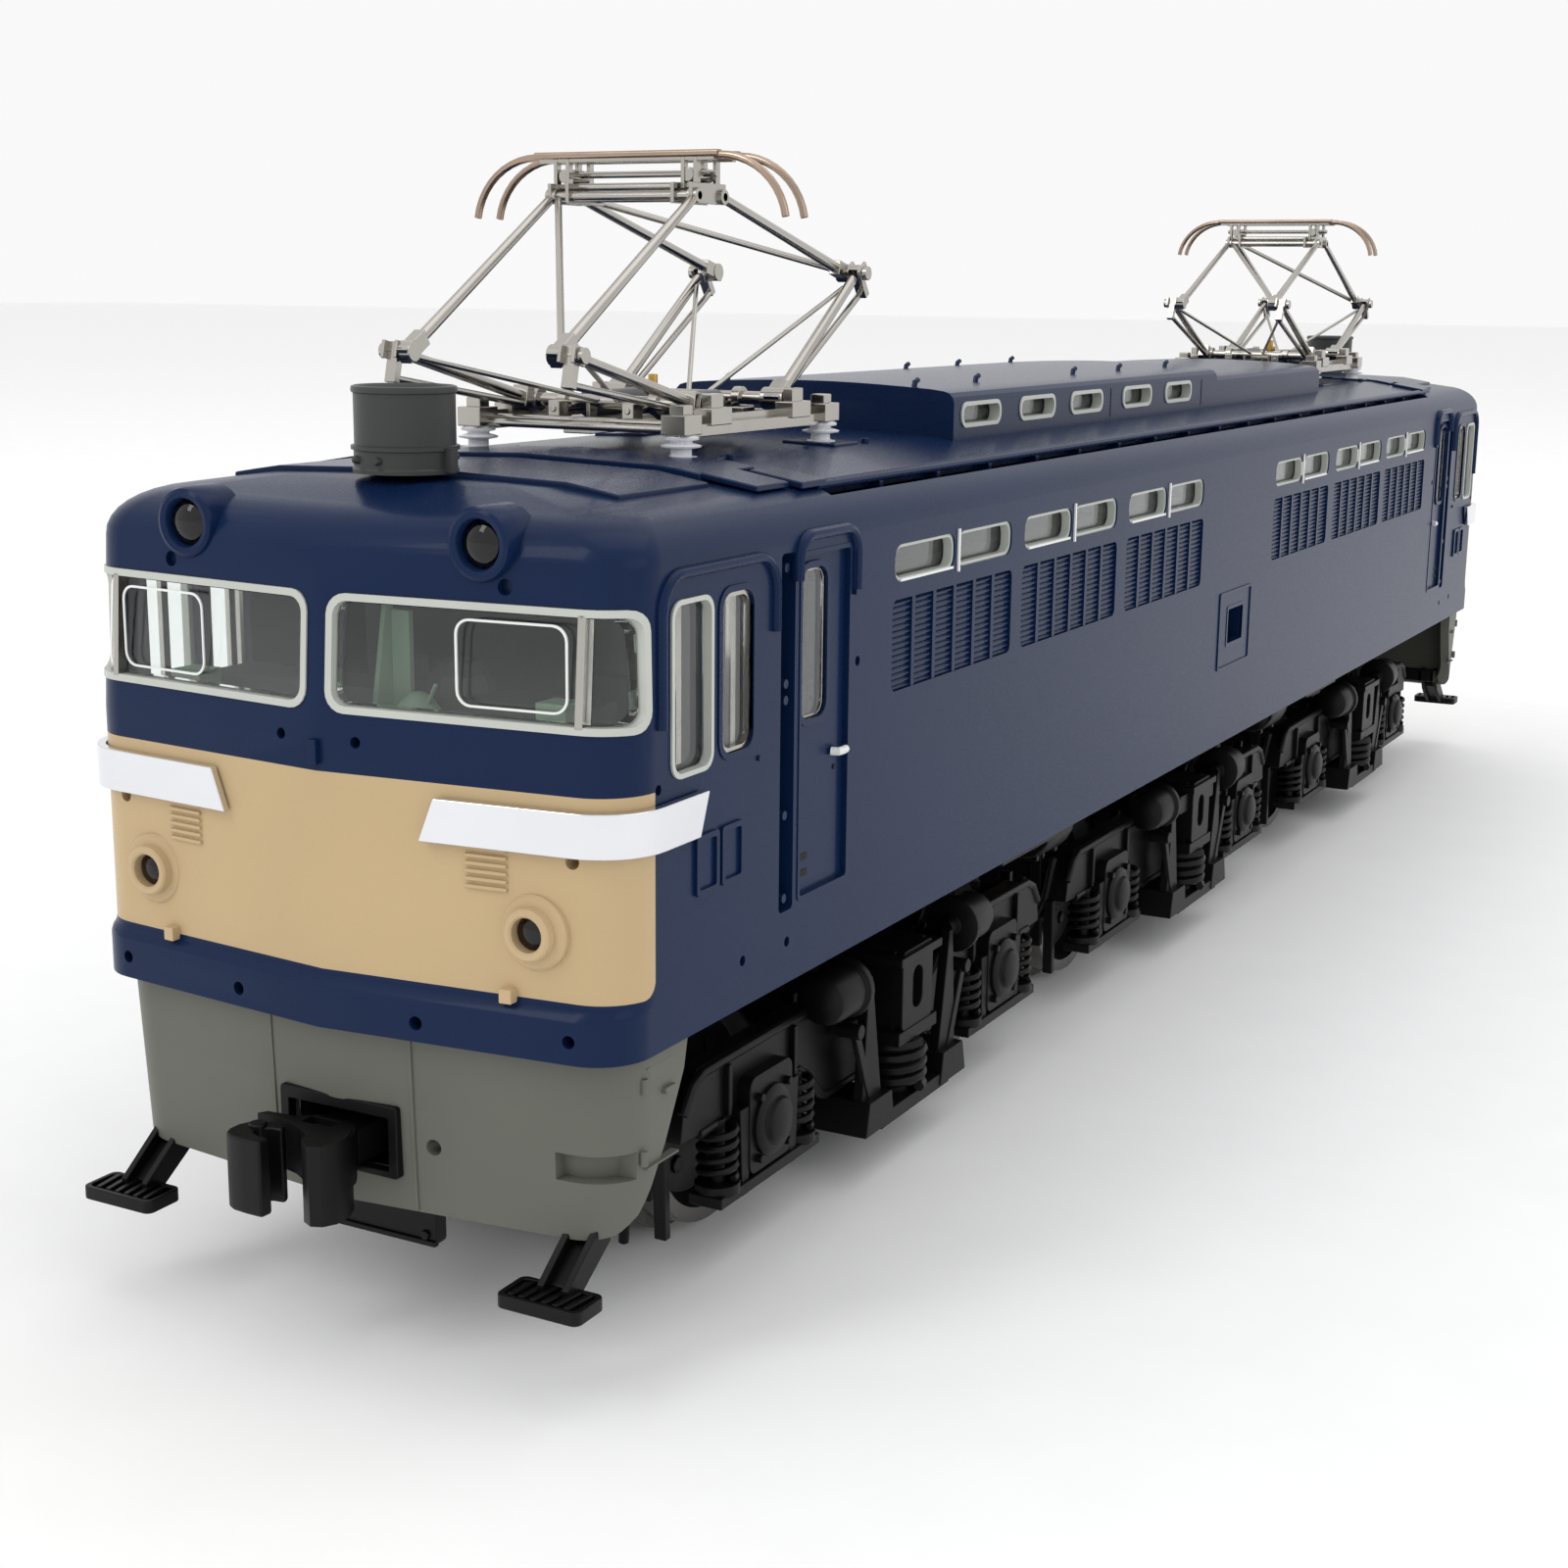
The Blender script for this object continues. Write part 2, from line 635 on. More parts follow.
def front_y(x):
    """Where the flat of the end face stands at a distance from the centre line."""
    return -HALF_LENGTH - VEE * (1 - abs(x) / (HALF_WIDTH - CORNER))


def on_face(outline, inner, proud, depth):
    """A line round an outline on the end face, following its vee."""
    points, faces = ring_prism(outline, inner, 0, 1, "y")
    return [(x, front_y(x) - proud + (proud + depth) * w, z) for x, w, z in points], faces


defroster = on_face(rounded(8.1, 14.3, 35.5, 39.9, 0.8), rounded(8.22, 14.18, 35.62, 39.78, 0.7), -0.22,
                    0.3)
at_ends("defroster_lines", both_sides(defroster), white_line, "body_blue")

cab_frames = []
for i, (y0, y1, z0, z1) in enumerate(CAB_WINDOWS):
    cab_frames.append(ring_prism(rounded(y0, y1, z0, z1, 0.9),
                                 rounded(y0 + 0.26, y1 - 0.26, z0 + 0.26, z1 - 0.26, 0.7),
                                 HALF_WIDTH - 0.5, HALF_WIDTH + (0.12 if i == 0 else -0.1), "x"))
at_ends("cab_window_frames", both_sides(cab_frames[0]), frame_paint, "body_blue")
y0, y1, z0, z1 = DOOR_WINDOW
bright = ring_prism(rounded(y0, y1, z0, z1, 0.9), rounded(y0 + 0.18, y1 - 0.18, z0 + 0.18, z1 - 0.18, 0.8),
                    HALF_WIDTH - 0.6, HALF_WIDTH - 0.42, "x")
sashes = [box((HALF_WIDTH - 1.0, HALF_WIDTH - 0.6), (y - 0.25, y + 0.25), (32.4, 40.4)) for y in (-91.9,
        -86.4)]
at_ends("inner_window_edges", both_sides(cab_frames[1], bright, *sashes), nickel, "chrome")

# ---- Side details -------------------------------------------------------------------------------


def side_line(path, radius, proud=0.0, flat=0.8):
    return sweep([(HALF_WIDTH + proud, y, z) for y, z in path], radius, 10, flat)


def arch(y0, y1, top, left, right, radius=1.6, steps=6):
    """A path that rises, runs level and falls again, with rounded shoulders."""
    points = [(y0, left)]
    for k in range(steps + 1):
        a = math.pi - k / steps * math.pi / 2
        points.append((y0 + radius + radius * math.cos(a), top - radius + radius * math.sin(a)))
    for k in range(steps + 1):
        a = math.pi / 2 - k / steps * math.pi / 2
        points.append((y1 - radius + radius * math.cos(a), top - radius + radius * math.sin(a)))
    return points + [(y1, right)]


def framed_plate(y0, y1, z0, z1, width=0.3, proud=0.18):
    return ring_prism(rounded(y0, y1, z0, z1, 0.25),
                      rounded(y0 + width, y1 - width, z0 + width, z1 - width, 0.15),
                      HALF_WIDTH - 0.1, HALF_WIDTH + proud, "x")


hoods = [side_line(arch(-94.4, -82.7, 42.1, 34.6, 38.0, 1.9), 0.38),
         side_line(arch(-80.2, -73.2, 42.75, 40.4, 39.2, 1.4), 0.42)]
door_edge = ring_prism(rounded(*DOOR, 0.35), rounded(DOOR[0] + 0.25, DOOR[1] - 0.25, DOOR[2] + 0.25,
                                                     DOOR[3] - 0.25, 0.25),
                       HALF_WIDTH - 0.4, HALF_WIDTH + 0.06, "x")
door_window_edge = ring_prism(rounded(-79.75, -76.0, 32.15, 41.25, 1.2),
                              rounded(-79.4, -76.35, 32.5, 40.9, 0.9),
                              HALF_WIDTH - 0.4, HALF_WIDTH - 0.12, "x")
window_two_edge = ring_prism(rounded(-88.75, -84.75, 31.85, 40.95, 1.2),
                             rounded(-88.4, -85.1, 32.2, 40.6, 0.9),
                             HALF_WIDTH - 0.2, HALF_WIDTH + 0.08, "x")
plates = [framed_plate(-91.1, -88.8, 25.3, 28.5), framed_plate(-88.5, -86.2, 25.3, 28.5)]
hatch = [framed_plate(-4.5, 4.3, 24.5, 31.1, 0.22, 0.1), framed_plate(-2.3, 2.4, 26.3, 29.8, 0.3, 0.05)]
pegs = [bar((HALF_WIDTH - 0.9, y, z), (HALF_WIDTH - 0.1, y, z), 0.26, 10)
        for z in (41.2, 34.9, 34.0, 27.6, 22.9) for y in (-81.2,)]
grab = [box((HALF_WIDTH - 0.3, HALF_WIDTH + 0.25), (-73.5, -73.0), (38.9, 42.2))]
bolts = [bar((HALF_WIDTH - 0.2, y, z), (HALF_WIDTH + 0.12, y, z), 0.16, 8) for y,
         z in ((-94.9, 30.0), (-84.4, 31.4))]
at_ends("side_fittings", both_sides(*hoods, door_edge, door_window_edge, window_two_edge, *plates, *pegs,
                                    *grab, *bolts),
        navy_plain, "body_blue")
piece("side_hatches", both_sides(*hatch), navy_plain, "body_blue")
piece("hatch_wells", both_sides(box((HALF_WIDTH - 1.6, HALF_WIDTH - 1.25), (-2.4, 2.5), (26.2, 29.9))),
      deep_black, "body_blue")
handle = merged(sweep([(HALF_WIDTH - 0.2, -75.5, 30.2), (HALF_WIDTH + 0.22, -75.4, 30.2),
                       (HALF_WIDTH + 0.28, -74.9, 30.2),
                       (HALF_WIDTH + 0.2, -74.5, 30.2)], 0.24, 10))
at_ends("door_handles", both_sides(handle), white_line, "chrome")
slots = [box((HALF_WIDTH - 0.32, HALF_WIDTH - 0.27), (-79.4, -78.2), (z, z + 0.4)) for z in (23.6, 24.5)]
keyhole = bar((HALF_WIDTH - 0.32, -75.0, 29.2), (HALF_WIDTH - 0.24, -75.0, 29.2), 0.16, 8)
at_ends("door_slots", both_sides(*slots, keyhole), deep_black, "body_blue")

grille_bars, window_lines, machine_frames = [], [], []
for y0, y1 in GROUPS:
    columns = 6
    pitch = (y1 - y0) / columns
    for k in range(1, columns):
        y = y0 + k * pitch
        grille_bars.append(box((HALF_WIDTH - 0.3, HALF_WIDTH - 0.04), (y - 0.22, y + 0.22), GRILLE_Z))
    rows = 15
    rise = (GRILLE_Z[1] - GRILLE_Z[0]) / rows
    for k in range(rows):
        z = GRILLE_Z[0] + (k + 0.5) * rise
        outline = [(HALF_WIDTH - 0.3, z - 0.12), (HALF_WIDTH - 0.12, z - 0.12),
                   (HALF_WIDTH - 0.1, z - 0.06), (HALF_WIDTH - 0.3, z + 0.14)]
        grille_bars.append(prism(outline, y0 + 0.1, y1 - 0.1, "y"))
    middle = (y0 + y1) / 2
    window_lines.append(box((HALF_WIDTH - 0.5, HALF_WIDTH + 0.12), (middle + 0.1, middle + 0.34),
                            (38.7, 41.35)))
    window_lines.append(box((HALF_WIDTH - 0.5, HALF_WIDTH + 0.04), (y0 + 1.0, middle - 0.5), (38.95, 39.1)))
    for a, b in ((y0 + 0.2, middle - 0.25), (middle + 0.25, y1 - 0.2)):
        machine_frames.append(ring_prism(rounded(a, b, *MACHINE_Z, 0.85),
                                         rounded(a + 0.22, b - 0.22, MACHINE_Z[0] + 0.2, MACHINE_Z[1] - 0.2,
                                                 0.7),
                                         HALF_WIDTH - 0.7, HALF_WIDTH - 0.12, "x"))
all_grilles = both_sides(both_ends(*grille_bars))
piece("machine_room_grilles", all_grilles, navy_plain, "body_blue")
piece("machine_window_lines", both_sides(both_ends(*window_lines)), white_line, "body_blue")
piece("machine_window_frames", both_sides(both_ends(*machine_frames)), frame_paint, "body_blue")
strip = box((HALF_WIDTH - 1.15, HALF_WIDTH - 0.75), (-69, 69), (38.2, 41.9))
piece("side_panes_right", strip, clear, "clear", stands_for=["side_glazing_right"])
piece("side_panes_left", mirrored(strip), clear, "clear", stands_for=["side_glazing_left"])

# ---- Bright strips, lamps and end fittings ------------------------------------------------------

trim_skin = boolean(body_form(-0.6, 26.0), body_form(-0.1, 25.0), "DIFFERENCE")
side_start = CORNER - HALF_LENGTH
trim_face = prism([(6.3, 28.6), (22, 28.6), (22, 30.9), (7.2, 30.9)], -108, side_start, "y")
trim_side = prism([(side_start - 0.5, 28.6), (side_start + 3.5, 28.6), (side_start + 4.4, 30.9),
                   (side_start - 0.5, 30.9)], 15, 22, "x")
trim = boolean(trim_skin, boolean(trim_face, trim_side, "UNION"), "INTERSECT")
at_ends("bright_strip_right", trim, chrome, "chrome", stands_for="trim_{}_a", bevel=0.08, angle=40.0)
at_ends("bright_strip_left", mirrored(trim), chrome, "chrome", stands_for="trim_{}_b", bevel=0.08,
        angle=40.0)

AHEAD = (0, -1, 0)
head_y = -96.9
head_ring = solid_ring([(1.22, -1.4), (1.22, 1.0), (1.32, 1.16), (1.58, 1.22), (1.78, 1.12), (1.86, 0.9),
                        (1.9, -0.4), (1.9, -1.4)],
                       (HEAD_X, head_y, HEAD_Z), AHEAD, 40)
at_ends("headlight_rims", both_sides(head_ring), navy_plain, "body_blue")
head_lens = revolve([(0.0, 1.15), (0.5, 1.12), (0.95, 0.95), (1.2, 0.7), (1.2, -1.0), (0.0, -1.0)],
                    (HEAD_X, head_y, HEAD_Z), AHEAD, 32)
at_ends("headlight_lenses", both_sides(head_lens), lamp_dark, "clear", stands_for="headlight_guide_{}")
reflector = revolve([(0, -0.6), (1.1, -0.2), (1.15, -0.4), (0, -1.2)], (HEAD_X, head_y - 0.2, HEAD_Z),
                    AHEAD, 24)
at_ends("headlight_reflectors", both_sides(reflector), spring_grey, "chrome")
tail_y = front_y(TAIL_X)
tail_ring = solid_ring([(0.9, -0.3), (0.9, 0.75), (1.0, 0.85), (1.25, 0.85), (1.35, 0.75), (1.4, 0.3),
                        (1.8, 0.26),
                        (1.95, 0.1), (1.98, -0.3)], (TAIL_X, tail_y, TAIL_Z), AHEAD, 40)
at_ends("tail_lamp_rims", both_sides(tail_ring), cream_plain, "body_blue")
tail_lens = revolve([(0.0, 0.5), (0.5, 0.45), (0.86, 0.25), (0.88, -0.8), (0, -0.8)],
                    (TAIL_X, tail_y, TAIL_Z), AHEAD, 28)
at_ends("tail_lamp_lenses", both_sides(tail_lens), tail_dark, "clear", stands_for="tail_light_guide_{}")


def face_block(x0, x1, z0, z1, proud, depth=0.1):
    corners = [(x0, front_y(x0) + depth), (x0, front_y(x0) - proud), (x1, front_y(x1) - proud),
               (x1, front_y(x1) + depth)]
    return prism(corners, z0, z1, "z")


louvres = [face_block(8.64, 11.02, 26.4 + 0.4 * k, 26.6 + 0.4 * k, 0.2) for k in range(6)]
tabs = [face_block(10.75, 11.45, 20.75, 21.5, 0.62)]
at_ends("face_louvres", both_sides(*louvres, *tabs), cream_plain, "body_blue", bevel=0.06)
at_ends("face_post", face_block(-0.25, 0.25, 31.9, 33.2, 0.3), navy_plain, "body_blue", bevel=0.05)

# ---- Roof ---------------------------------------------------------------------------------------


def crown(x):
    """Height of the roof deck at a distance from the centre line."""
    x = abs(x)
    shoulder = 9.55
    if x <= shoulder:
        return DECK_TOP - 0.3 * x / shoulder
    return DECK_TOP - 0.3 - (x - shoulder) / (14.7 - shoulder) * 0.85


def roof_plate(x0, x1, y0, y1, lift, thickness=0.5, steps=10):
    xs = [x0 + (x1 - x0) * k / steps for k in range(steps + 1)]
    outline = [(x, crown(x) + lift) for x in xs] + [(x, crown(x) + lift - thickness) for x in reversed(xs)]
    return prism(list(reversed(outline)), y0, y1, "y")


deck = roof_plate(-14.7, 14.7, -73.9, 73.9, 0.0, 0.9, 24)
piece("roof_deck", deck, navy_plain, "body_blue", bevel=0.08)
cab_plates = [roof_plate(-12.6, 12.6, -90.4, -81.3, 0.0, 0.7, 16),
              roof_plate(-11.6, 11.6, -80.6, -74.4, 0.22, 0.7, 16),
              roof_plate(11.4, 15.0, -80.3, -76.6, 0.25, 0.35, 3),
              roof_plate(-15.0, -11.4, -80.3, -76.6, 0.25, 0.35, 3),
              roof_plate(12.2, 15.6, -76.2, -73.2, 0.3, 0.4, 3),
              roof_plate(-15.6, -12.2, -76.2, -73.2, 0.3, 0.4, 3),
              roof_plate(-9.0, 9.0, -79.9, -75.0, 0.16, 0.4, 8)]
pads = [roof_plate(s * 7.1 - 1.9, s * 7.1 + 1.9, y - 1.7, y + 1.7, 0.18, 0.5, 4) for s in (-1,
        1) for y in (-75.0, -57.6)]
roof_bolts = [bar((x, y, crown(x) - 0.1), (x, y, crown(x) + 0.3), 0.28, 10) for x in (-8.8,
        8.8) for y in (-72.3, -54.6)]
at_ends("cab_roof_plates", merged(*cab_plates, *pads), navy_plain, "body_blue", bevel=0.1)
at_ends("roof_bolts", merged(*roof_bolts), navy_plain, "body_blue", bevel=0.06)
slot_ribs = [box((13.3, 15.35), (y - 0.25, y + 0.25),
                 (43.9, 44.9)) for y in [-73.8 + 8.2 * k for k in range(19)]]
piece("roof_slot_ribs", both_sides(*slot_ribs), navy_plain, "body_blue")
piece("roof_slot_floor", both_sides(box((12.9, 13.4), (-73.8, 73.8), (43.8, 44.9))), deep_black,
      "body_blue")
long_edge = sweep([(15.35, y, 44.95) for y in (-74.2, 74.2)], 0.28, 10)
piece("roof_edge_bead", both_sides(long_edge), navy_plain, "body_blue")

MON_HALF = 11.0
MON_BASE = crown(MON_HALF) + 0.28
MON_FRONT, MON_STEP, MON_REAR = -45.5, 12.3, 46.6
MON_TOP = MON_BASE + 3.0
MON_WINDOWS = [-40.9, -30.5, -20.4, -8.9, 1.5]


def monitor_outline(inset, top, foot):
    edge = MON_HALF - inset
    shoulder = [(edge, top - 0.75), (edge - 0.12, top - 0.4), (edge - 0.4, top - 0.12), (edge - 0.8, top)]
    arch_points = [(edge * (1 - k / 6), top + 0.45 * math.sin(k / 6 * math.pi / 2)) for k in range(1, 7)]
    half = [(edge, foot)] + shoulder + [p for p in arch_points if p[0] < edge - 0.9]
    return half + [(-x, z) for x, z in reversed(half) if x > 1e-6]


high = prism(monitor_outline(0, MON_TOP, 45.75), MON_FRONT, MON_STEP, "y")
low = prism(monitor_outline(0, MON_TOP - 0.6, 45.75), MON_STEP - 1, MON_REAR, "y")
hollow = box((-10.2, 10.2), (MON_FRONT + 0.8, MON_STEP - 0.8), (45.0, MON_TOP - 0.45))
window_cuts = merged(*[prism(rounded(y - 3.45, y + 3.45, MON_BASE + 0.5, MON_BASE + 2.25, 0.8), -12, 12,
                             "x")
                       for y in MON_WINDOWS])
monitor = boolean(boolean(boolean(high, low, "UNION"), hollow, "DIFFERENCE"), window_cuts, "DIFFERENCE")
seams = [box((-11.04, 11.04), (y - 0.12, y + 0.12), (MON_BASE, MON_TOP - 0.8)) for y in (-14.9, 8.0)]
hooks = []
for y in (-44.0, -33.5, -14.0, -3.5, 8.5):
    hooks.append(sweep([(7.4, y - 0.3, MON_TOP), (7.4, y - 0.1, MON_TOP + 0.5),
                        (7.4, y + 0.3, MON_TOP + 0.62)], 0.2, 10))
piece("monitor_housing", monitor, navy_plain, "body_blue", stands_for=["roof_monitor"], angle=25.0)
piece("monitor_fittings", both_sides(*seams, *hooks), navy_plain, "body_blue")
monitor_frames = [ring_prism(rounded(y - 3.45, y + 3.45, MON_BASE + 0.5, MON_BASE + 2.25, 0.8),
                             rounded(y - 3.15, y + 3.15, MON_BASE + 0.78, MON_BASE + 1.97, 0.55),
                             MON_HALF - 0.7, MON_HALF + 0.1, "x")
                  for y in MON_WINDOWS]
piece("monitor_window_frames", both_sides(*monitor_frames), frame_paint, "body_blue")
monitor_strip = box((MON_HALF - 1.1, MON_HALF - 0.75), (-44.6, 5.2), (MON_BASE + 0.35, MON_BASE + 2.35))
piece("monitor_panes_right", monitor_strip, clear, "clear", stands_for=["monitor_glazing_right"])
piece("monitor_panes_left", mirrored(monitor_strip), clear, "clear", stands_for=["monitor_glazing_left"])

# ---- Whistle covers -----------------------------------------------------------------------------

WHISTLE_Y = -91.3
whistle = revolve([(0, 0), (2.78, 0), (2.78, 0.2), (2.7, 0.3), (2.7, 1.15), (2.84, 1.2), (2.84, 1.4),
                   (2.66, 1.45), (2.66, 4.1),
                   (2.76, 4.15), (2.78, 4.3), (2.74, 4.45), (2.6, 4.5), (2.45, 4.42), (2.3, 4.2),
                   (0, 4.05)],
                  (0, WHISTLE_Y, 46.15), (0, 0, 1), 48)
rivets = [revolve([(0, 0.3), (0.14, 0.26), (0.22, 0.12), (0.24, -0.2), (0, -0.2)],
                  (2.72 * math.sin(a), WHISTLE_Y - 2.72 * math.cos(a), 46.85),
                  (math.sin(a), -math.cos(a), 0), 12)
          for a in (-0.5, 0.1, 2.6)]
clamp = box((2.3, 3.15), (WHISTLE_Y - 0.3, WHISTLE_Y + 0.3), (46.25, 47.5))
at_ends("whistle_can", merged(whistle, *rivets, clamp), whistle_grey, "whistle_grey",
        stands_for="whistle_cover_{}")

# ---- Skirt --------------------------------------------------------------------------------------


def skirt_ring(inset, z):
    return plan_ring(HALF_WIDTH - 0.6 - inset, HALF_LENGTH - 0.6 - inset, z, 3.0, 9)


def skirt_rings(extra, low, high, steps=5):
    rings = []
    for k in range(steps + 1):
        t = k / steps
        rings.append(skirt_ring(extra + 0.35 * (1 - t), low + (high - low) * t))
    return loft(rings)


SKIRT_LOW, SKIRT_HIGH = 8.0, 17.8
edge = [(-104, 19), (7.4 - HALF_LENGTH, 19), (6.9 - HALF_LENGTH, 16), (5.2 - HALF_LENGTH, 12.4),
        (4.0 - HALF_LENGTH, 10.5),
        (3.0 - HALF_LENGTH, 9.2), (1.9 - HALF_LENGTH, 8.3), (0.6 - HALF_LENGTH, 7.9),
        (-0.5 - HALF_LENGTH, 7.0), (-104, 7)]
skirt = boolean(skirt_rings(0, SKIRT_LOW, SKIRT_HIGH), skirt_rings(1.0, SKIRT_LOW - 1, SKIRT_HIGH + 1),
                "DIFFERENCE")
skirt = boolean(skirt, prism(edge, -20, 20, "x"), "INTERSECT")
notch = boolean(box((12.9, 17.5), (-99.5, -95.1), (11.2, 12.7)),
                skirt_rings(0.75, SKIRT_LOW - 1, SKIRT_HIGH + 1), "DIFFERENCE")
skirt_cuts = merged(box((-3.8, 3.8), (-104, -93), (9.9, 13.7)),
                    bar((5.8, -104, 11.8), (5.8, -93, 11.8), 0.45, 20), notch)
skirt = boolean(skirt, skirt_cuts, "DIFFERENCE")


def skirt_y(x, z):
    inset = 0.35 * (SKIRT_HIGH - z) / (SKIRT_HIGH - SKIRT_LOW)
    return -(HALF_LENGTH - 0.6 - inset) - VEE * (1 - abs(x) / (HALF_WIDTH - 0.6 - inset - 3.0))


def skirt_rib(x, width, proud, z0=SKIRT_LOW + 0.1, z1=SKIRT_HIGH):
    rings = []
    for z in (z0, z1):
        y = skirt_y(x, z)
        rings.append([(x - width / 2, y + 0.2, z), (x - width / 2, y - proud, z),
                      (x + width / 2, y - proud, z),
                      (x + width / 2, y + 0.2, z)])
    return loft(rings)


fold_lines = [skirt_rib(x, 0.22, 0.1, 8.1 if abs(x) > 4 else 13.7) for x in (-4.65, 4.65)]
side_x = HALF_WIDTH - 0.6
hinges = [bar((side_x - 0.1, -94.9, z), (side_x - 0.1, -94.9, z + 0.8), 0.2, 10) for z in (11.9, 15.8)]
hatch_lines = [box((side_x - 0.5, side_x - 0.02), (-94.7, -91.6), (z, z + 0.1)) for z in (11.6, 17.0)]
latch = [box((side_x - 0.4, side_x + 0.18), (-93.2, -92.2), (15.3, 15.6))]
at_ends("skirt_apron", skirt, grey_skirt, "skirt_grey", stands_for="skirt_{}", angle=28.0)
at_ends("skirt_fittings", merged(*fold_lines, both_sides(*hinges, *hatch_lines, *latch)), grey_skirt,
        "skirt_grey")
opening_frame = ring_prism(rounded(-3.9, 3.9, 9.8, 13.8, 0.2), rounded(-3.3, 3.3, 10.2, 13.1, 0.1), -98.6,
                           -98.0, "y")
at_ends("coupler_opening_frame", opening_frame, rubber_black, "black_plastic", bevel=0.08)

# ---- Pantographs --------------------------------------------------------------------------------

JOINT = {j["name"]: Vector(j["pos_m"]) / MM for j in frame["joints"] if "pos_m" in j}


def heading(a, b):
    """The direction from a to b in a plane across X, and the one square to it that points up."""
    along = Vector((b.y - a.y, b.z - a.z)).normalized()
    across = Vector((-along.y, along.x))
    return along, across if across.y > 0 else -across


def at_x(x, place, along=None, step=0.0, across=None, lift=0.0):
    y = place.y + (along.x * step if along else 0) + (across.x * lift if across else 0)
    z = place.z + (along.y * step if along else 0) + (across.y * lift if across else 0)
    return (x, y, z)


def plank(a, b, x, width, depth):
    """A flat bar between two points of the plane across X, centred at x."""
    a, b = Vector(a), Vector(b)
    across = heading(a, b)[1]
    half = across * depth / 2
    outline = [(a.y - half.x, a.z - half.y), (b.y - half.x, b.z - half.y), (b.y + half.x, b.z + half.y),
               (a.y + half.x, a.z + half.y)]
    return prism(outline, x - width / 2, x + width / 2, "x")


def crossbar(place, half, radius, sides=14):
    return bar((-half, place.y, place.z), (half, place.y, place.z), radius, sides)


def pin(x0, x1, place, radius):
    return bar((x0, place.y, place.z), (x1, place.y, place.z), radius, 14)


LOWER_X, UPPER_X = 5.9, 5.0


def lower_arm(pivot, knuckle):
    along, across = heading(pivot, knuckle)
    length = (knuckle - pivot).length
    tube = sweep([at_x(LOWER_X, pivot, along, t * length) for t in (0, 0.15, 0.5, 0.95)],
                 [0.42, 0.36, 0.34, 0.32], 14)
    rod = bar(at_x(5.6, pivot, along, 0.9, across, -0.5), at_x(5.75, knuckle, along, -0.1, across, -1.55),
              0.22, 10)
    brace = bar(at_x(5.6, knuckle, along, -1.6), at_x(0.7, pivot, along, 0.4), 0.17, 8)
    cheeks = [plank(at_x(x, knuckle, along, -0.55), at_x(x, knuckle, along, 0.65), x, 0.22,
                    1.0) for x in (5.46, 6.34)]
    web = plank(at_x(5.9, knuckle, across=across, lift=0.5), at_x(5.9, knuckle, across=across, lift=-1.8),
                5.9, 0.7, 0.55)
    pins = [pin(5.0, 6.75, knuckle, 0.3), pin(6.45, 6.8, knuckle, 0.46), pin(4.95, 5.2, knuckle, 0.42)]
    clamp = plank(at_x(5.9, pivot, along, -0.6), at_x(5.9, pivot, along, 1.1), 5.9, 1.1, 1.3)
    shaft = crossbar(pivot, 6.7, 0.42)
    collars = [pin(5.0, 6.6, pivot, 0.72), pin(2.9, 3.5, pivot, 0.7)]
    lever = plank(at_x(1.4, pivot), (1.4, pivot.y, pivot.z - 1.1), 1.4, 0.3, 0.8)
    return merged(both_sides(tube, rod, brace, *cheeks, web, *pins, clamp, *collars, lever), shaft)


def upper_arm(knuckle, top):
    along, across = heading(knuckle, top)
    length = (top - knuckle).length
    tube = sweep([at_x(UPPER_X, knuckle, along, t * length) for t in (0.05, 0.5, 1.0)], [0.36, 0.32, 0.29],
                 12)
    foot = plank(at_x(UPPER_X, knuckle, along, -0.55), at_x(UPPER_X, knuckle, along, 1.5), UPPER_X, 0.75,
                 0.95)
    eye = pin(UPPER_X - 0.45, UPPER_X + 0.5, knuckle, 0.6)
    boss = pin(UPPER_X - 0.4, UPPER_X + 0.3, top, 0.46)
    brace = bar(at_x(UPPER_X - 0.1, knuckle, along, 0.5), at_x(0.5 - UPPER_X, top, along, -0.2), 0.22, 10)
    return merged(both_sides(tube, foot, eye, boss), crossbar(top, 5.15, 0.27), brace)


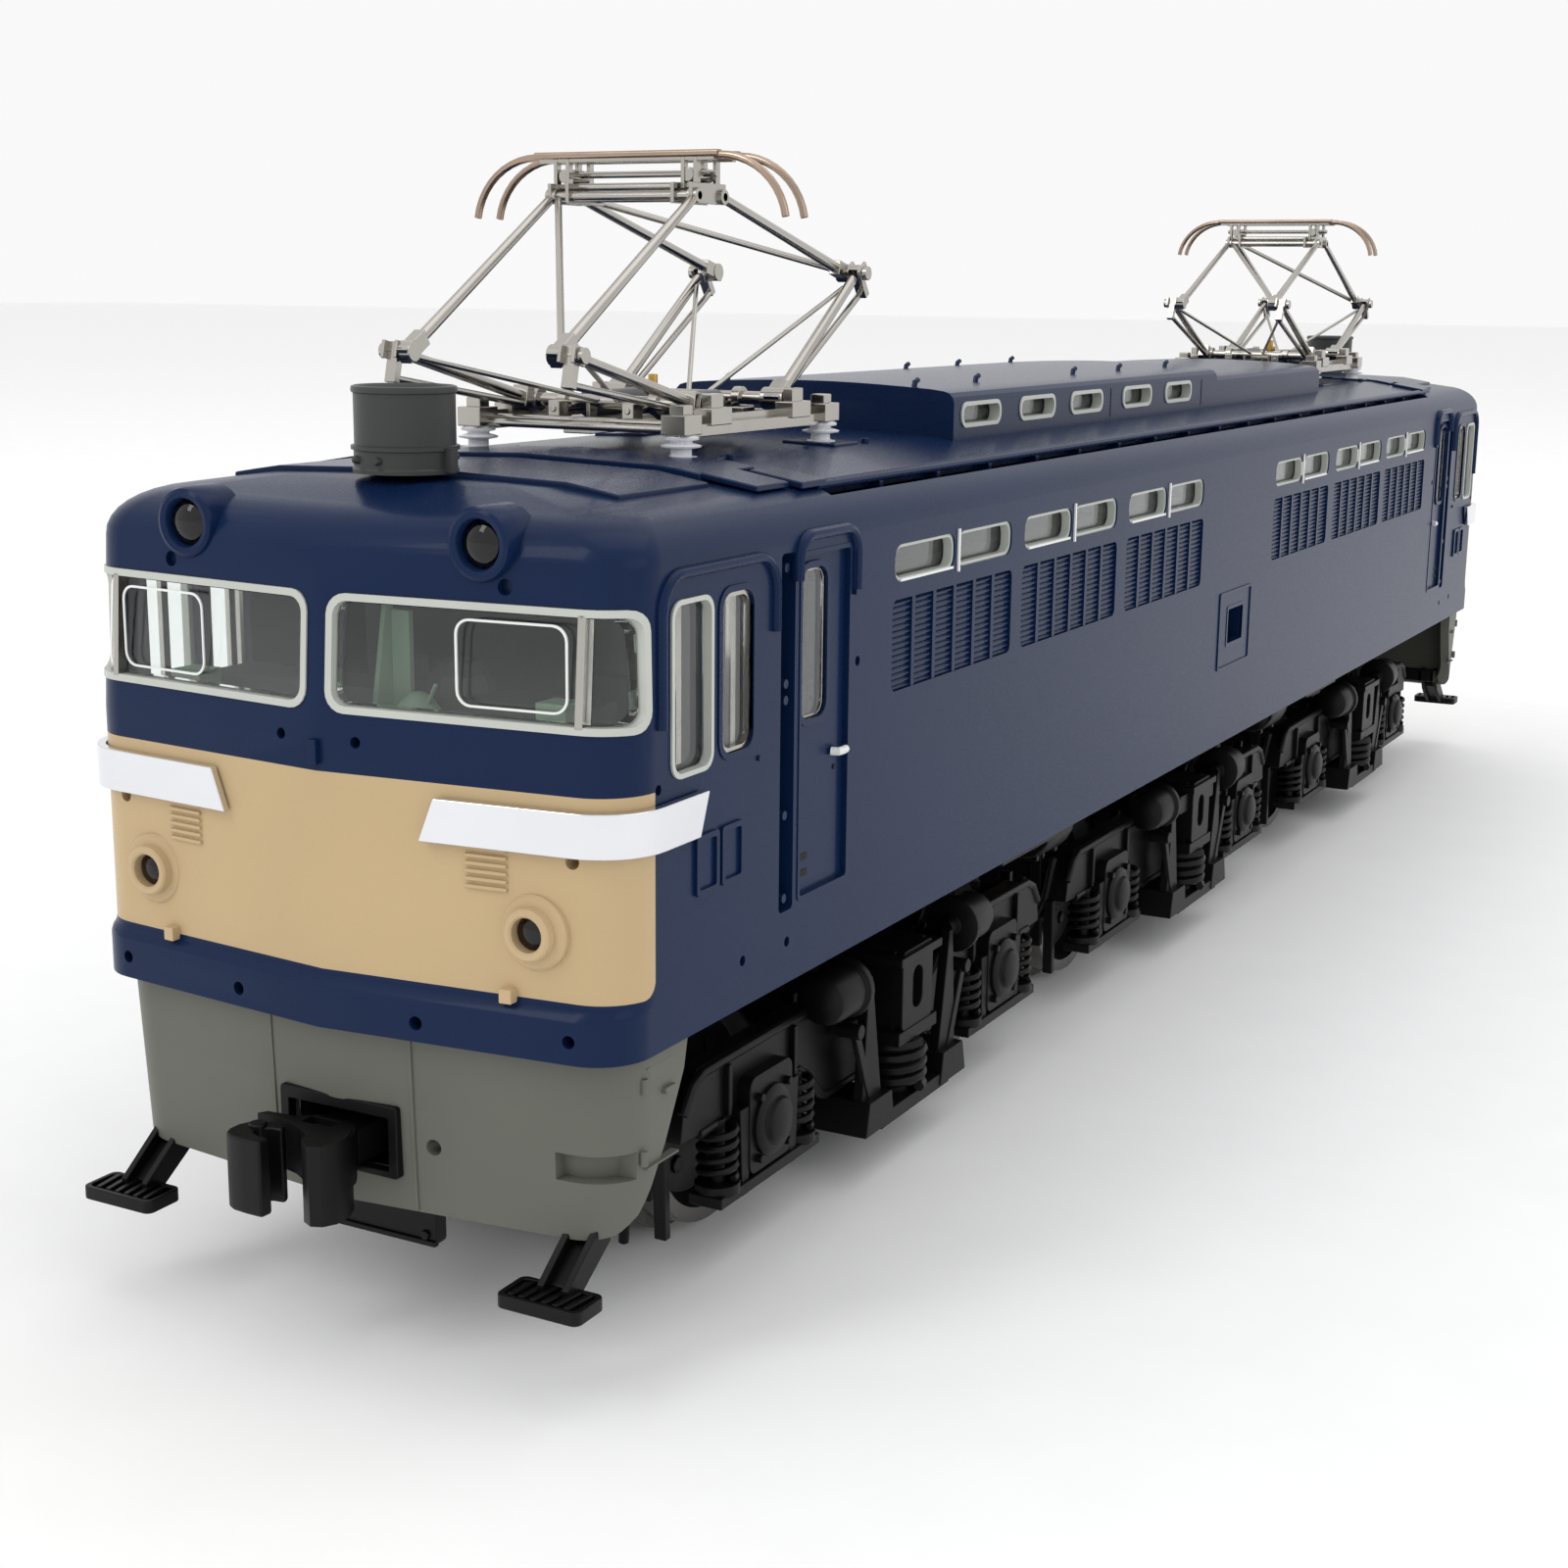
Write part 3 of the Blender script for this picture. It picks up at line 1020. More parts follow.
def collector(first, second, end):
    low, high = node_box(f"pantograph_{end}_head")
    middle = (first + second) / 2
    y, z, top, reach = middle.y, middle.z, high.z, high.x
    strips, metal = [], []
    for side in (-1, 1):
        at = y + side * 1.15
        outline = rounded(at - 0.33, at + 0.33, top - 0.4, top, 0.14, 3)
        strips.append(prism(outline, -6.4, 6.4, "x"))
        horn = [(5.2, at, top - 0.3)]
        for k in range(11):
            t = math.radians(8.2 * k)
            horn.append((6.4 + (reach - 6.65) * math.sin(t), at, top - 0.3 - 4.1 * (1 - math.cos(t))))
        strips.append(both_sides(sweep(horn, 0.23, 12)))
        metal.append(box((-6.1, 6.1), (at - 0.2, at + 0.2), (top - 0.62, top - 0.38)))
        metal.append(both_sides(box((3.9, 4.15), (at - 0.25, at + 0.25), (z + 0.4, top - 0.4)),
                                box((4.75, 5.0), (at - 0.25, at + 0.25), (z + 0.4, top - 0.4))))
    bracket = [box((3.55, 3.8), (y - 2.0, y + 2.0), (z - 0.45, z + 0.75)),
               box((4.8, 5.05), (y - 2.0, y + 2.0), (z - 0.45, z + 0.75)),
               box((3.6, 5.0), (y - 1.2, y + 1.2), (z + 0.45, z + 0.75)), pin(3.3, 5.3, first, 0.3),
               pin(3.3, 5.3, second, 0.3),
               bar((4.3, y - 1.3, z + 1.2), (4.3, y + 1.3, z + 1.2), 0.42, 12)]
    rods = [bar((-4.6, y + s, z + 0.55), (4.6, y + s, z + 0.55), 0.24, 12) for s in (-0.75, 0.75)]
    rods.append(bar((-5.6, y, z + 1.3), (5.6, y, z + 1.3), 0.2, 12))
    return merged(*strips), merged(*metal, both_sides(*bracket), *rods)


RAIL_X, RAIL_END, POST_Y = 7.1, 9.6, 8.7
FRAME_LOW = 47.3


def pantograph_base(y):
    rail = [box((6.7, 7.5), (y - RAIL_END, y + RAIL_END), (FRAME_LOW, FRAME_LOW + 0.75)),
            box((6.55, 6.75), (y - RAIL_END, y + RAIL_END), (FRAME_LOW + 0.1, FRAME_LOW + 1.15))]
    metal = []
    for s in (-1, 1):
        rail.append(box((6.3, 7.95), (y + s * POST_Y - 0.95, y + s * POST_Y + 0.95),
                        (FRAME_LOW + 0.2, FRAME_LOW + 1.35)))
        rail.append(box((6.6, 7.6), (y + s * POST_Y - 0.5, y + s * POST_Y + 0.5),
                        (FRAME_LOW + 1.3, FRAME_LOW + 1.9)))
        rail.append(box((6.4, 7.7), (y + s * 5 - 1.2, y + s * 5 + 1.2), (FRAME_LOW + 0.6, FRAME_LOW + 1.6)))
        rail.append(box((6.7, 7.4), (y + s * 5 - 0.7, y + s * 5 + 0.7), (FRAME_LOW + 1.5, FRAME_LOW + 2.4)))
        metal.append(bar((-6.6, y + s * POST_Y, FRAME_LOW + 0.45), (6.6, y + s * POST_Y, FRAME_LOW + 0.45),
                         0.24, 12))
        metal.append(bar((-6.4, y + s * 7.6, FRAME_LOW + 0.7), (6.4, y + s * 7.6, FRAME_LOW + 0.7), 0.22,
                         10))
        rail.append(box((4.4, 5.4), (y + s * 2.3 - 0.8, y + s * 2.3 + 0.8),
                        (FRAME_LOW + 0.5, FRAME_LOW + 1.3)))
    rail += [box((3.9, 5.9), (y - 2.9, y + 2.9), (FRAME_LOW + 0.1, FRAME_LOW + 0.6)),
             bar((6.3, y - 8.4, FRAME_LOW + 0.5), (1.3, y + 7.6, FRAME_LOW + 0.5), 0.18, 8),
             bar((2.6, y - 7.4, FRAME_LOW + 1.3), (2.6, y + 7.4, FRAME_LOW + 1.3), 0.2, 10),
             box((2.2, 3.0), (y + 6.2, y + 7.3), (FRAME_LOW + 0.1, FRAME_LOW + 1.8)),
             box((2.2, 3.0), (y - 7.3, y - 6.2), (FRAME_LOW + 0.1, FRAME_LOW + 1.8))]
    metal += [box((-1.0, 1.0), (y - POST_Y, y + POST_Y), (FRAME_LOW, FRAME_LOW + 0.6)),
              box((-4.0, 4.0), (y - 0.9, y + 0.9), (FRAME_LOW + 0.1, FRAME_LOW + 0.9)),
              box((-1.5, 1.5), (y + 2.4, y + 4.0), (FRAME_LOW + 0.3, FRAME_LOW + 1.3))]
    return merged(both_sides(*rail), *metal)


def insulator(x, y):
    foot = crown(x) + 0.2
    rise = FRAME_LOW + 0.25 - foot
    profile = [(0, -0.2), (0.95, -0.2), (0.95, 0.0), (0.62, 0.06), (0.62, 0.34 * rise), (1.16, 0.42 * rise),
               (1.2, 0.5 * rise),
               (0.66, 0.62 * rise), (0.66, 0.7 * rise), (1.02, 0.76 * rise), (1.05, 0.86 * rise),
               (0.7, rise), (0, rise)]
    return revolve(profile, (x, y, foot), (0, 0, 1), 28)


def barrel(x, y):
    profile = [(0, -4.2), (0.5, -4.2), (0.5, -3.6), (0.82, -3.5), (0.82, 2.9), (0.6, 3.0), (0.6, 3.3),
               (0.3, 3.4), (0, 3.4)]
    return revolve(profile, (x, y, FRAME_LOW + 1.45), (0, 1, 0), 24)


for end in ("front", "rear"):
    stem = f"pantograph_{end}"
    arm_a, arm_b = JOINT[f"{stem}_raise"], JOINT[f"{stem}_lower_arm_b_swing"]
    knee_a, knee_b = JOINT[f"{stem}_upper_arm_a_swing"], JOINT[f"{stem}_upper_arm_b_swing"]
    top_a = JOINT[f"{stem}_head_level"]
    top_b = top_a + Vector((0, 3.0, 0))
    for name, shape in (("lower_arm_a", lower_arm(arm_a, knee_a)),
                        ("lower_arm_b", lower_arm(arm_b, knee_b)),
                        ("upper_arm_a", upper_arm(knee_a, top_a)),
                        ("upper_arm_b", upper_arm(knee_b, top_b))):
        node = f"{stem}_{name}"
        piece(f"{node}_tubes", shape, nickel, "nickel_silver", body=node, stands_for=[node], bevel=0.05,
              angle=40.0)
    strips, holder = collector(top_a, top_b, end)
    piece(f"{stem}_contact_strips", strips, copper, "nickel_silver", body=f"{stem}_head", bevel=0.04,
          angle=40.0)
    piece(f"{stem}_head_frame", holder, nickel, "nickel_silver", body=f"{stem}_head",
          stands_for=[f"{stem}_head"],
          bevel=0.05, angle=40.0)
    middle = (arm_a.y + arm_b.y) / 2
    piece(f"{stem}_base_frame", pantograph_base(middle), nickel, "nickel_silver",
          stands_for=[f"{stem}_base"], bevel=0.08, angle=40.0)
    posts = merged(*[insulator(x, middle + s * POST_Y) for x in (-RAIL_X, RAIL_X) for s in (-1, 1)])
    piece(f"{stem}_insulators", posts, insulator_white, "nickel_silver")
    piece(f"{stem}_spring_barrels", both_sides(barrel(2.6, middle)), spring_grey, "nickel_silver")
    fitting = revolve([(0, 0), (0.5, 0), (0.5, 0.9), (0.36, 1.0), (0.36, 1.5), (0.55, 1.6), (0.55, 2.0),
                       (0.3, 2.1), (0.3, 2.7),
                       (0, 2.75)], (0, middle - 0.2, FRAME_LOW + 0.5), (0, 0, 1), 20)
    piece(f"{stem}_contact_screw", fitting, brass, "nickel_silver")

# ---- Couplers and steps -------------------------------------------------------------------------

COUPLER_Z = 10.9
LIP = -HALF_LENGTH - 5.2
hook_plan = [(-1.5, 0.0), (-2.6, 0.0), (-3.5, 0.08), (-4.05, 0.35), (-4.3, 0.9), (-4.3, 1.6), (-4.05, 2.2),
             (-3.5, 2.6),
             (-2.8, 2.72), (-1.9, 2.6), (-1.75, 2.1), (-2.4, 2.0), (-2.8, 1.75), (-2.9, 1.4), (-2.7, 1.05),
             (-2.2, 0.85), (-1.45, 0.8)]
hook_plan = [(x, LIP + y) for x, y in hook_plan]
hook = merged(prism(hook_plan, COUPLER_Z - 2.7, COUPLER_Z + 1.5, "z"),
              bar((-3.2, LIP + 1.9, COUPLER_Z - 2.7), (-3.2, LIP + 1.9, COUPLER_Z + 1.7), 0.5, 20))
at_ends("coupler_hook", hook, rubber_black, "black_plastic", stands_for="coupler_knuckle_{}",
        body="knuckle_{}", bevel=0.16)
jaw_plan = [(-4.1, 2.9), (-2.6, 2.95), (-1.3, 2.6), (-0.6, 2.2), (0.0, 1.9), (0.5, 1.4), (0.9, 0.8),
            (1.5, 0.4), (2.0, 0.6),
            (2.4, 1.2), (2.5, 2.2), (2.2, 3.2), (1.7, 3.9), (1.2, 4.3), (-1.2, 4.3), (-1.9, 3.6),
            (-3.8, 3.4)]
jaw_plan = [(x, LIP + y) for x, y in jaw_plan]
guard_plan = [(1.3, 1.2), (1.7, 0.6), (2.4, 0.25), (3.0, 0.5), (3.4, 1.2), (3.4, 2.2), (2.9, 3.2),
              (2.5, 2.9), (2.8, 2.1), (2.6, 1.4), (1.9, 1.5)]
guard_plan = [(x - 0.9, LIP + y) for x, y in guard_plan]
pocket = box((-1.3, 0.6), (LIP + 3.1, LIP + 4.0), (COUPLER_Z + 1.3, COUPLER_Z + 2.6))
jaw = boolean(prism(jaw_plan, COUPLER_Z - 1.1, COUPLER_Z + 1.7, "z"), pocket, "DIFFERENCE")
shank = [box((-1.5, 1.5), (LIP + 4.3, -92.2), (COUPLER_Z - 0.6, COUPLER_Z + 1.3)),
         bar((0, -90.9, COUPLER_Z - 0.2), (0, -90.9, COUPLER_Z + 1.8), 1.9, 28)]
guard_plate = prism(guard_plan, COUPLER_Z - 2.6, COUPLER_Z + 1.8, "z")
at_ends("coupler_jaw", merged(jaw, guard_plate, *shank), rubber_black, "black_plastic",
        stands_for="coupler_{}",
        body="coupler_{}", bevel=0.14)

STEP_X, STEP_Y, STEP_Z = 14.1, -HALF_LENGTH - 1.7, 5.4
tread = prism(rounded(STEP_X - 2.5, STEP_X + 2.5, STEP_Y - 1.3, STEP_Y + 1.3, 0.45), STEP_Z, STEP_Z + 0.75,
              "z")
tray = prism(rounded(STEP_X - 2.2, STEP_X + 2.2, STEP_Y - 1.0, STEP_Y + 1.0, 0.3), STEP_Z + 0.5,
             STEP_Z + 1.2, "z")
tread = boolean(tread, tray, "DIFFERENCE")
ridges = [prism([(x - 0.2, STEP_Y - 0.95), (x + 0.15, STEP_Y - 0.95), (x + 0.4, STEP_Y + 0.95),
                 (x + 0.05, STEP_Y + 0.95)],
                STEP_Z + 0.4, STEP_Z + 0.78, "z") for x in [STEP_X - 1.8 + 0.68 * k for k in range(6)]]
BACK = 1.9 - HALF_LENGTH
BEHIND = BACK + 3.3
rails = []
for offset in (-0.75, 0.75):
    outline = [(STEP_Y + 0.2, STEP_Z + 0.2), (STEP_Y + 1.3, STEP_Z + 0.2), (-95.4, 7.6), (-94.4, 9.0),
               (BEHIND, 9.0), (BEHIND, 10.4),
               (-95.3, 10.4), (-96.2, 8.9), (STEP_Y + 0.2, STEP_Z + 1.0)]
    rails.append(prism(outline, STEP_X + offset - 0.2, STEP_X + offset + 0.2, "x"))
rails.append(prism([(STEP_Y + 0.9, STEP_Z + 0.4), (-95.5, 8.0), (-95.5, 8.4), (STEP_Y + 0.9, STEP_Z + 0.8)],
                   STEP_X - 0.8, STEP_X + 0.8, "x"))
guard = prism(rounded(-4.3, 4.3, 5.1, 8.4, 0.35), BACK + 0.05, BACK + 1.0, "y")
guard = merged(guard, *[bar((x, BACK - 0.15, 5.7), (x, BACK + 0.3, 5.7), 0.28, 12) for x in (-3.6, 3.6)],
               box((-4.3, 4.3), (BACK - 0.12, BACK + 0.3), (5.1, 5.45)))
box_walls = boolean(box((-4.8, 4.8), (BACK, -87.9), (7.6, 17.5)),
                    box((-4.0, 4.0), (BACK - 1, -88.9), (COUPLER_Z - 1.7, COUPLER_Z + 1.7)),
                    "DIFFERENCE")
cross = box((-STEP_X - 0.9, STEP_X + 0.9), (BEHIND - 1.4, BEHIND), (9.0, 10.4))
at_ends("step_treads", both_sides(tread, *ridges, *rails), rubber_black, "black_plastic", bevel=0.07)
at_ends("coupler_box", merged(guard, box_walls, cross), rubber_black, "black_plastic",
        stands_for="step_bracket_{}", bevel=0.1)

# ---- Wheels and drive ---------------------------------------------------------------------------

AXLE_STEP = 17.5
BOGIES = (("front", -58.75), ("centre", 0.0), ("rear", 58.75))
SIDEWAYS = (1, 0, 0)


def wheel_pair(y, powered):
    place = (7.2, y, AXLE_Z)
    tyre = [(6.1, 2.8), (6.95, 2.8), (7.02, 2.7), (7.12, 1.05), (7.3, 0.75), (7.66, 0.6), (7.8, 0.4),
            (7.72, 0.15), (7.5, 0.0), (6.1, 0.0)]
    disc = [(0.95, 2.1), (1.9, 2.1), (2.1, 1.9), (2.3, 1.45), (5.4, 1.45), (5.75, 1.9), (6.1, 2.5),
            (6.3, 2.5), (6.3, 0.2),
            (5.6, 0.3), (5.2, 0.6), (2.2, 0.6), (1.9, 0.2), (0.95, 0.2)]
    hub = revolve([(0, -1.0), (0.9, -1.0), (1.0, -0.9), (1.0, 6.0), (0, 6.0)], place, SIDEWAYS, 20)
    spokes = [revolve([(0, 1.3), (0.55, 1.3), (0.55, 1.62), (0.42, 1.66), (0, 1.66)],
                      (7.2, y + 3.8 * math.cos(a), AXLE_Z + 3.8 * math.sin(a)), SIDEWAYS, 12)
              for a in [2 * math.pi * k / 6 for k in range(6)]]
    centre = both_sides(solid_ring(disc, place, SIDEWAYS, 48), hub, *spokes)
    axle = bar((-7.4, y, AXLE_Z), (7.4, y, AXLE_Z), 1.0, 20)
    shapes = [centre, axle]
    if powered:
        teeth = []
        for k in range(16):
            for offset, radius in ((-0.28, 3.1), (-0.16, 3.9), (0.16, 3.9), (0.28, 3.1)):
                a = 2 * math.pi * (k + offset) / 16
                teeth.append((y + radius * math.cos(a), AXLE_Z + radius * math.sin(a)))
        shapes.append(prism(teeth, -1.5, 1.5, "x"))
    return both_sides(solid_ring(tyre, place, SIDEWAYS, 72)), merged(*shapes)


for name, middle in BOGIES:
    for place, side in (("leading", -1), ("trailing", 1)):
        node = f"wheelset_{name}_{place}"
        tyres, centres = wheel_pair(middle + side * AXLE_STEP, name != "centre")
        piece(f"{node}_tyres", tyres, tread_steel, "wheel_steel", body=node, angle=30.0)
        piece(f"{node}_centres", centres, blackened, "wheel_steel", body=node, stands_for=[node],
              bevel=0.05, angle=40.0)


def worm(y):
    """A single-start thread on a shaft along Y."""
    def thread(middle):
        places, steps, pitch = 20, 48, 1.4
        rings = []
        for k in range(steps + 1):
            at = middle + (k / steps - 0.5) * 2 * pitch
            turn_now = k / steps * 2 * places
            ring = []
            for p in range(places):
                from_crest = abs((p - turn_now) % places - places / 2)
                r = 2.2 - 0.8 * (1 - from_crest / (places / 2))
                a = 2 * math.pi * p / places
                ring.append((r * math.cos(a), at, 14.2 + r * math.sin(a)))
            rings.append(ring)
        return loft(rings)
    return merged(bar((0, y - 25.5, 14.2), (0, y + 25.5, 14.2), 0.8, 20), thread(y - AXLE_STEP),
                  thread(y + AXLE_STEP))


CARDAN_FROM, CARDAN_TO = Vector((0, -23.3, 17.2)), Vector((0, -31.85, 14.5))
cardan = revolve([(0, 0), (0.95, 0), (1.1, 0.15), (1.1, 1.6), (0.8, 1.9), (0.8, 7.0), (1.1, 7.3),
                  (1.1, 8.8), (0.95, 8.96),
                  (0, 8.96)], CARDAN_FROM, CARDAN_TO - CARDAN_FROM, 24)
at_ends("cardan_tube", cardan, black, "black_plastic", stands_for="cardan_shaft_{}", body="cardan_{}")
at_ends("worm_thread", worm(-58.75), acetal, "worm_plastic", stands_for="worm_shaft_{}", body="worm_{}")

# ---- Bogie side frames --------------------------------------------------------------------------


def coil(x, y, low, high, radius, wire, turns):
    steps = int(turns * 14)
    path = []
    for k in range(steps + 1):
        a = 2 * math.pi * k / 14
        path.append((x + radius * math.cos(a), y + radius * math.sin(a),
                     low + wire + (high - low - 2 * wire) * k / steps))
    return sweep(path, wire, 6)


def side_plate(outline, low, high):
    return prism(outline, low, high, "x")


def side_frame(powered):
    beam_outline = [(-26.5, 9.0), (-26.2, 10.6), (-25.2, 12.0), (-24.0, 12.5), (-10.6, 12.6), (-9.0, 12.2),
                    (-7.4, 10.4), (-6.6, 9.9),
                    (6.6, 9.9), (7.4, 10.4), (9.0, 12.2), (10.6, 12.6), (24.0, 12.5), (25.2, 12.0),
                    (26.2, 10.6), (26.5, 9.0),
                    (24.4, 8.9), (12.4, 9.1), (11.2, 8.4), (9.4, 6.6), (8.6, 6.3), (-8.6, 6.3), (-9.4, 6.6),
                    (-11.2, 8.4),
                    (-12.4, 9.1), (-24.4, 8.9)]
    shapes = [side_plate(beam_outline, 11.4, 13.2)]
    upper = [(13.1, y, z) for y, z in beam_outline[1:15]]
    lower = [(13.1, y, z) for y, z in beam_outline[16:]]
    shapes += [sweep(upper, 0.36, 8), sweep(lower, 0.32, 8)]
    for y in (-21.5, -13.5, 13.5, 21.5):
        shapes.append(box((13.0, 13.6), (y - 0.2, y + 0.2), (9.2, 12.3)))
    for s in (-1, 1):
        y = s * AXLE_STEP
        housing = rounded(y - 2.6, y + 2.6, AXLE_Z - 2.8, AXLE_Z + 3.2, 0.7)
        shapes.append(side_plate(housing, 11.6, 14.1))
        for t in (-1, 1):
            shapes.append(side_plate([(y + t * 2.5, 4.0), (y + t * 3.3, 4.0), (y + t * 3.6, 9.4),
                                      (y + t * 2.5, 9.4)], 11.5, 14.0))
            shapes.append(coil(13.1, y + t * 4.7, 5.4, 9.1, 1.05, 0.26, 4.5))
            shapes.append(bar((13.1, y + t * 4.7, 5.1), (13.1, y + t * 4.7, 9.2), 0.45, 12))
            shapes.append(bar((13.1, y + t * 4.7, 4.7), (13.1, y + t * 4.7, 5.4), 1.35, 20))
            shapes.append(bar((14.0, y + t * 1.7, AXLE_Z + 1.9), (14.5, y + t * 1.7, AXLE_Z + 1.9), 0.28,
                              8))
            shapes.append(bar((14.0, y + t * 1.7, AXLE_Z - 1.9), (14.5, y + t * 1.7, AXLE_Z - 1.9), 0.28,
                              8))
        shapes.append(box((12.0, 14.2), (y - 6.1, y + 6.1), (4.2, 4.9)))
        cap = [(0, 0), (2.2, 0), (2.2, 0.3), (2.0, 0.5), (1.5, 0.55), (1.35, 0.85), (1.0, 1.0), (0, 1.05)]
        shapes.append(revolve(cap, (14.0, y, AXLE_Z), SIDEWAYS, 36))
        for t in (-1, 1):
            wheel_side = y + t * 7.55
            shoe = []
            for k in range(6):
                a = math.radians(-24 + 44 * k / 5)
                shoe.append((y + t * 7.35 * math.cos(a), AXLE_Z + 7.35 * math.sin(a)))
            back_edge = [(py + t * 0.95, pz) for py, pz in reversed(shoe)]
            shapes.append(side_plate(shoe + back_edge, 7.5, 9.9))
            shapes.append(side_plate([(wheel_side + t * 0.5, 5.0), (wheel_side + t * 1.1, 5.0),
                                      (wheel_side + t * 1.5, 12.6),
                                      (wheel_side + t * 0.9, 12.6)], 10.1, 11.0))
            shapes.append(bar((8.0, wheel_side + t * 0.8, 7.6), (11.6, wheel_side + t * 0.8, 7.6), 0.3, 10))
        pipe = [(11.9, y + s * 8.6, 12.4), (11.4, y + s * 8.9, 9.0), (9.6, y + s * 8.9, 5.4),
                (8.9, y + s * 8.2, 2.0)]
        shapes.append(sweep(pipe, 0.32, 10))
        guard = [(y + s * 8.5, 9.0), (y + s * 9.2, 9.0), (y + s * 8.95, 3.0), (y + s * 8.4, 3.0)]
        shapes.append(side_plate(guard, 11.4, 12.2))
    cup = [(0, 0), (1.1, 0.05), (1.55, 0.35), (1.7, 0.9), (1.7, 3.3), (1.95, 3.4), (1.95, 3.95),
           (1.5, 4.05), (0.7, 4.1), (0.5, 4.9), (0, 4.9)]
    for s in (-1, 1):
        shapes.append(revolve(cup, (14.2, s * 11.9, 13.4), (0, -s, 0), 28))
        shapes.append(box((12.6, 14.2), (s * 9.6 - 0.7, s * 9.6 + 0.7), (12.0, 13.6)))
        shapes.append(side_plate([(s * 6.4, 13.6), (s * 5.9, 13.6), (s * 4.2, 4.4), (s * 7.2, 4.4)], 14.3,
                                 15.0))
        shapes.append(side_plate([(s * 3.6, 3.4), (s * 7.7, 3.4), (s * 7.2, 5.6), (s * 4.0, 5.6)], 11.6,
                                 15.6))
        shapes.append(bar((13.6, s * 8.2, 10.6), (15.4, s * 8.2, 10.6), 0.5, 12))
        shapes.append(plank((14.9, s * 8.2, 10.6), (14.9, s * 5.8, 5.0), 14.9, 0.4, 0.7))
    oval = ring_prism(rounded(-2.3, 2.3, 8.8, 14.2, 0.5), rounded(-0.75, 0.75, 10.0, 12.8, 0.74), 14.7,
                      15.4, "x")
    shapes += [oval, box((12.4, 14.8), (-2.3, 2.3), (8.8, 14.2)),
               box((11.5, 15.7), (-3.1, 3.1), (13.4, 14.0)),
               box((12.6, 15.5), (-2.9, 2.9), (8.0, 8.9)), box((11.5, 15.5), (-5.2, 5.2), (3.2, 4.2))]
    shapes.append(coil(13.6, 0, 4.1, 8.1, 2.0, 0.42, 4))
    shapes.append(bar((13.6, 0, 4.0), (13.6, 0, 8.2), 1.3, 20))
    if not powered:
        shapes.append(box((11.5, 15.0), (-4.6, 4.6), (11.8, 13.4)))
    return merged(*shapes)


def bogie_middle(powered):
    top = 16.9 if powered else 9.6
    gearbox = [box((-5.0, 5.0), (-24.5, 24.5), (4.2, top - 1.2)),
               box((-4.4, 4.4), (-23.9, 23.9), (top - 1.3, top)),
               box((-11.5, 11.5), (-4.3, 4.3), (6.0, 9.6)), box((-11.5, 11.5), (-25.9, -24.7), (8.9, 11.9)),
               box((-11.5, 11.5), (24.7, 25.9), (8.9, 11.9))]
    slots = []
    for s in (-1, 1):
        slots.append(box((-6.0, 6.0), (s * AXLE_STEP - 1.3, s * AXLE_STEP + 1.3), (3.0, AXLE_Z + 1.2)))
    hollow = box((-3.0, 3.0), (-23.3, 23.3), (3.0, 16.7 if powered else 9.9))
    shape = boolean(boolean(merged(gearbox[0], gearbox[1]), hollow, "DIFFERENCE"), merged(*slots),
                    "DIFFERENCE")
    extra = [revolve([(0, 0), (2.2, 0), (2.4, 0.2), (2.4, 3.0), (2.2, 3.2), (0, 3.2)], (0, 0, top - 0.1),
                     (0, 0, 1), 32)] if powered else []
    return merged(shape, *gearbox[2:], *extra)


for name, middle in BOGIES:
    powered = name != "centre"
    frame_shape = moved(merged(both_sides(side_frame(powered)), bogie_middle(powered)), y=middle)
    piece(f"bogie_sideframes_{name}", frame_shape, rubber_black, "black_plastic", body=f"bogie_{name}",
          stands_for=[f"bogie_frame_{name}"], bevel=0.07, angle=40.0, segments=1)
    keeper = prism(rounded(-4.9, 4.9, middle - 24.4, middle + 24.4, 0.8), 2.7, 3.7, "z")
    screws = [bar((x, middle + s * 9.0, 2.5), (x, middle + s * 9.0, 2.8), 0.8, 16) for x in (-2.6,
            2.6) for s in (-1, 1)]
    piece(f"bogie_cover_{name}", merged(keeper, *screws), black, "black_plastic", body=f"bogie_{name}",
          stands_for=[f"bogie_keeper_{name}"], bevel=0.12)

# ---- Underframe and cab fittings ----------------------------------------------------------------


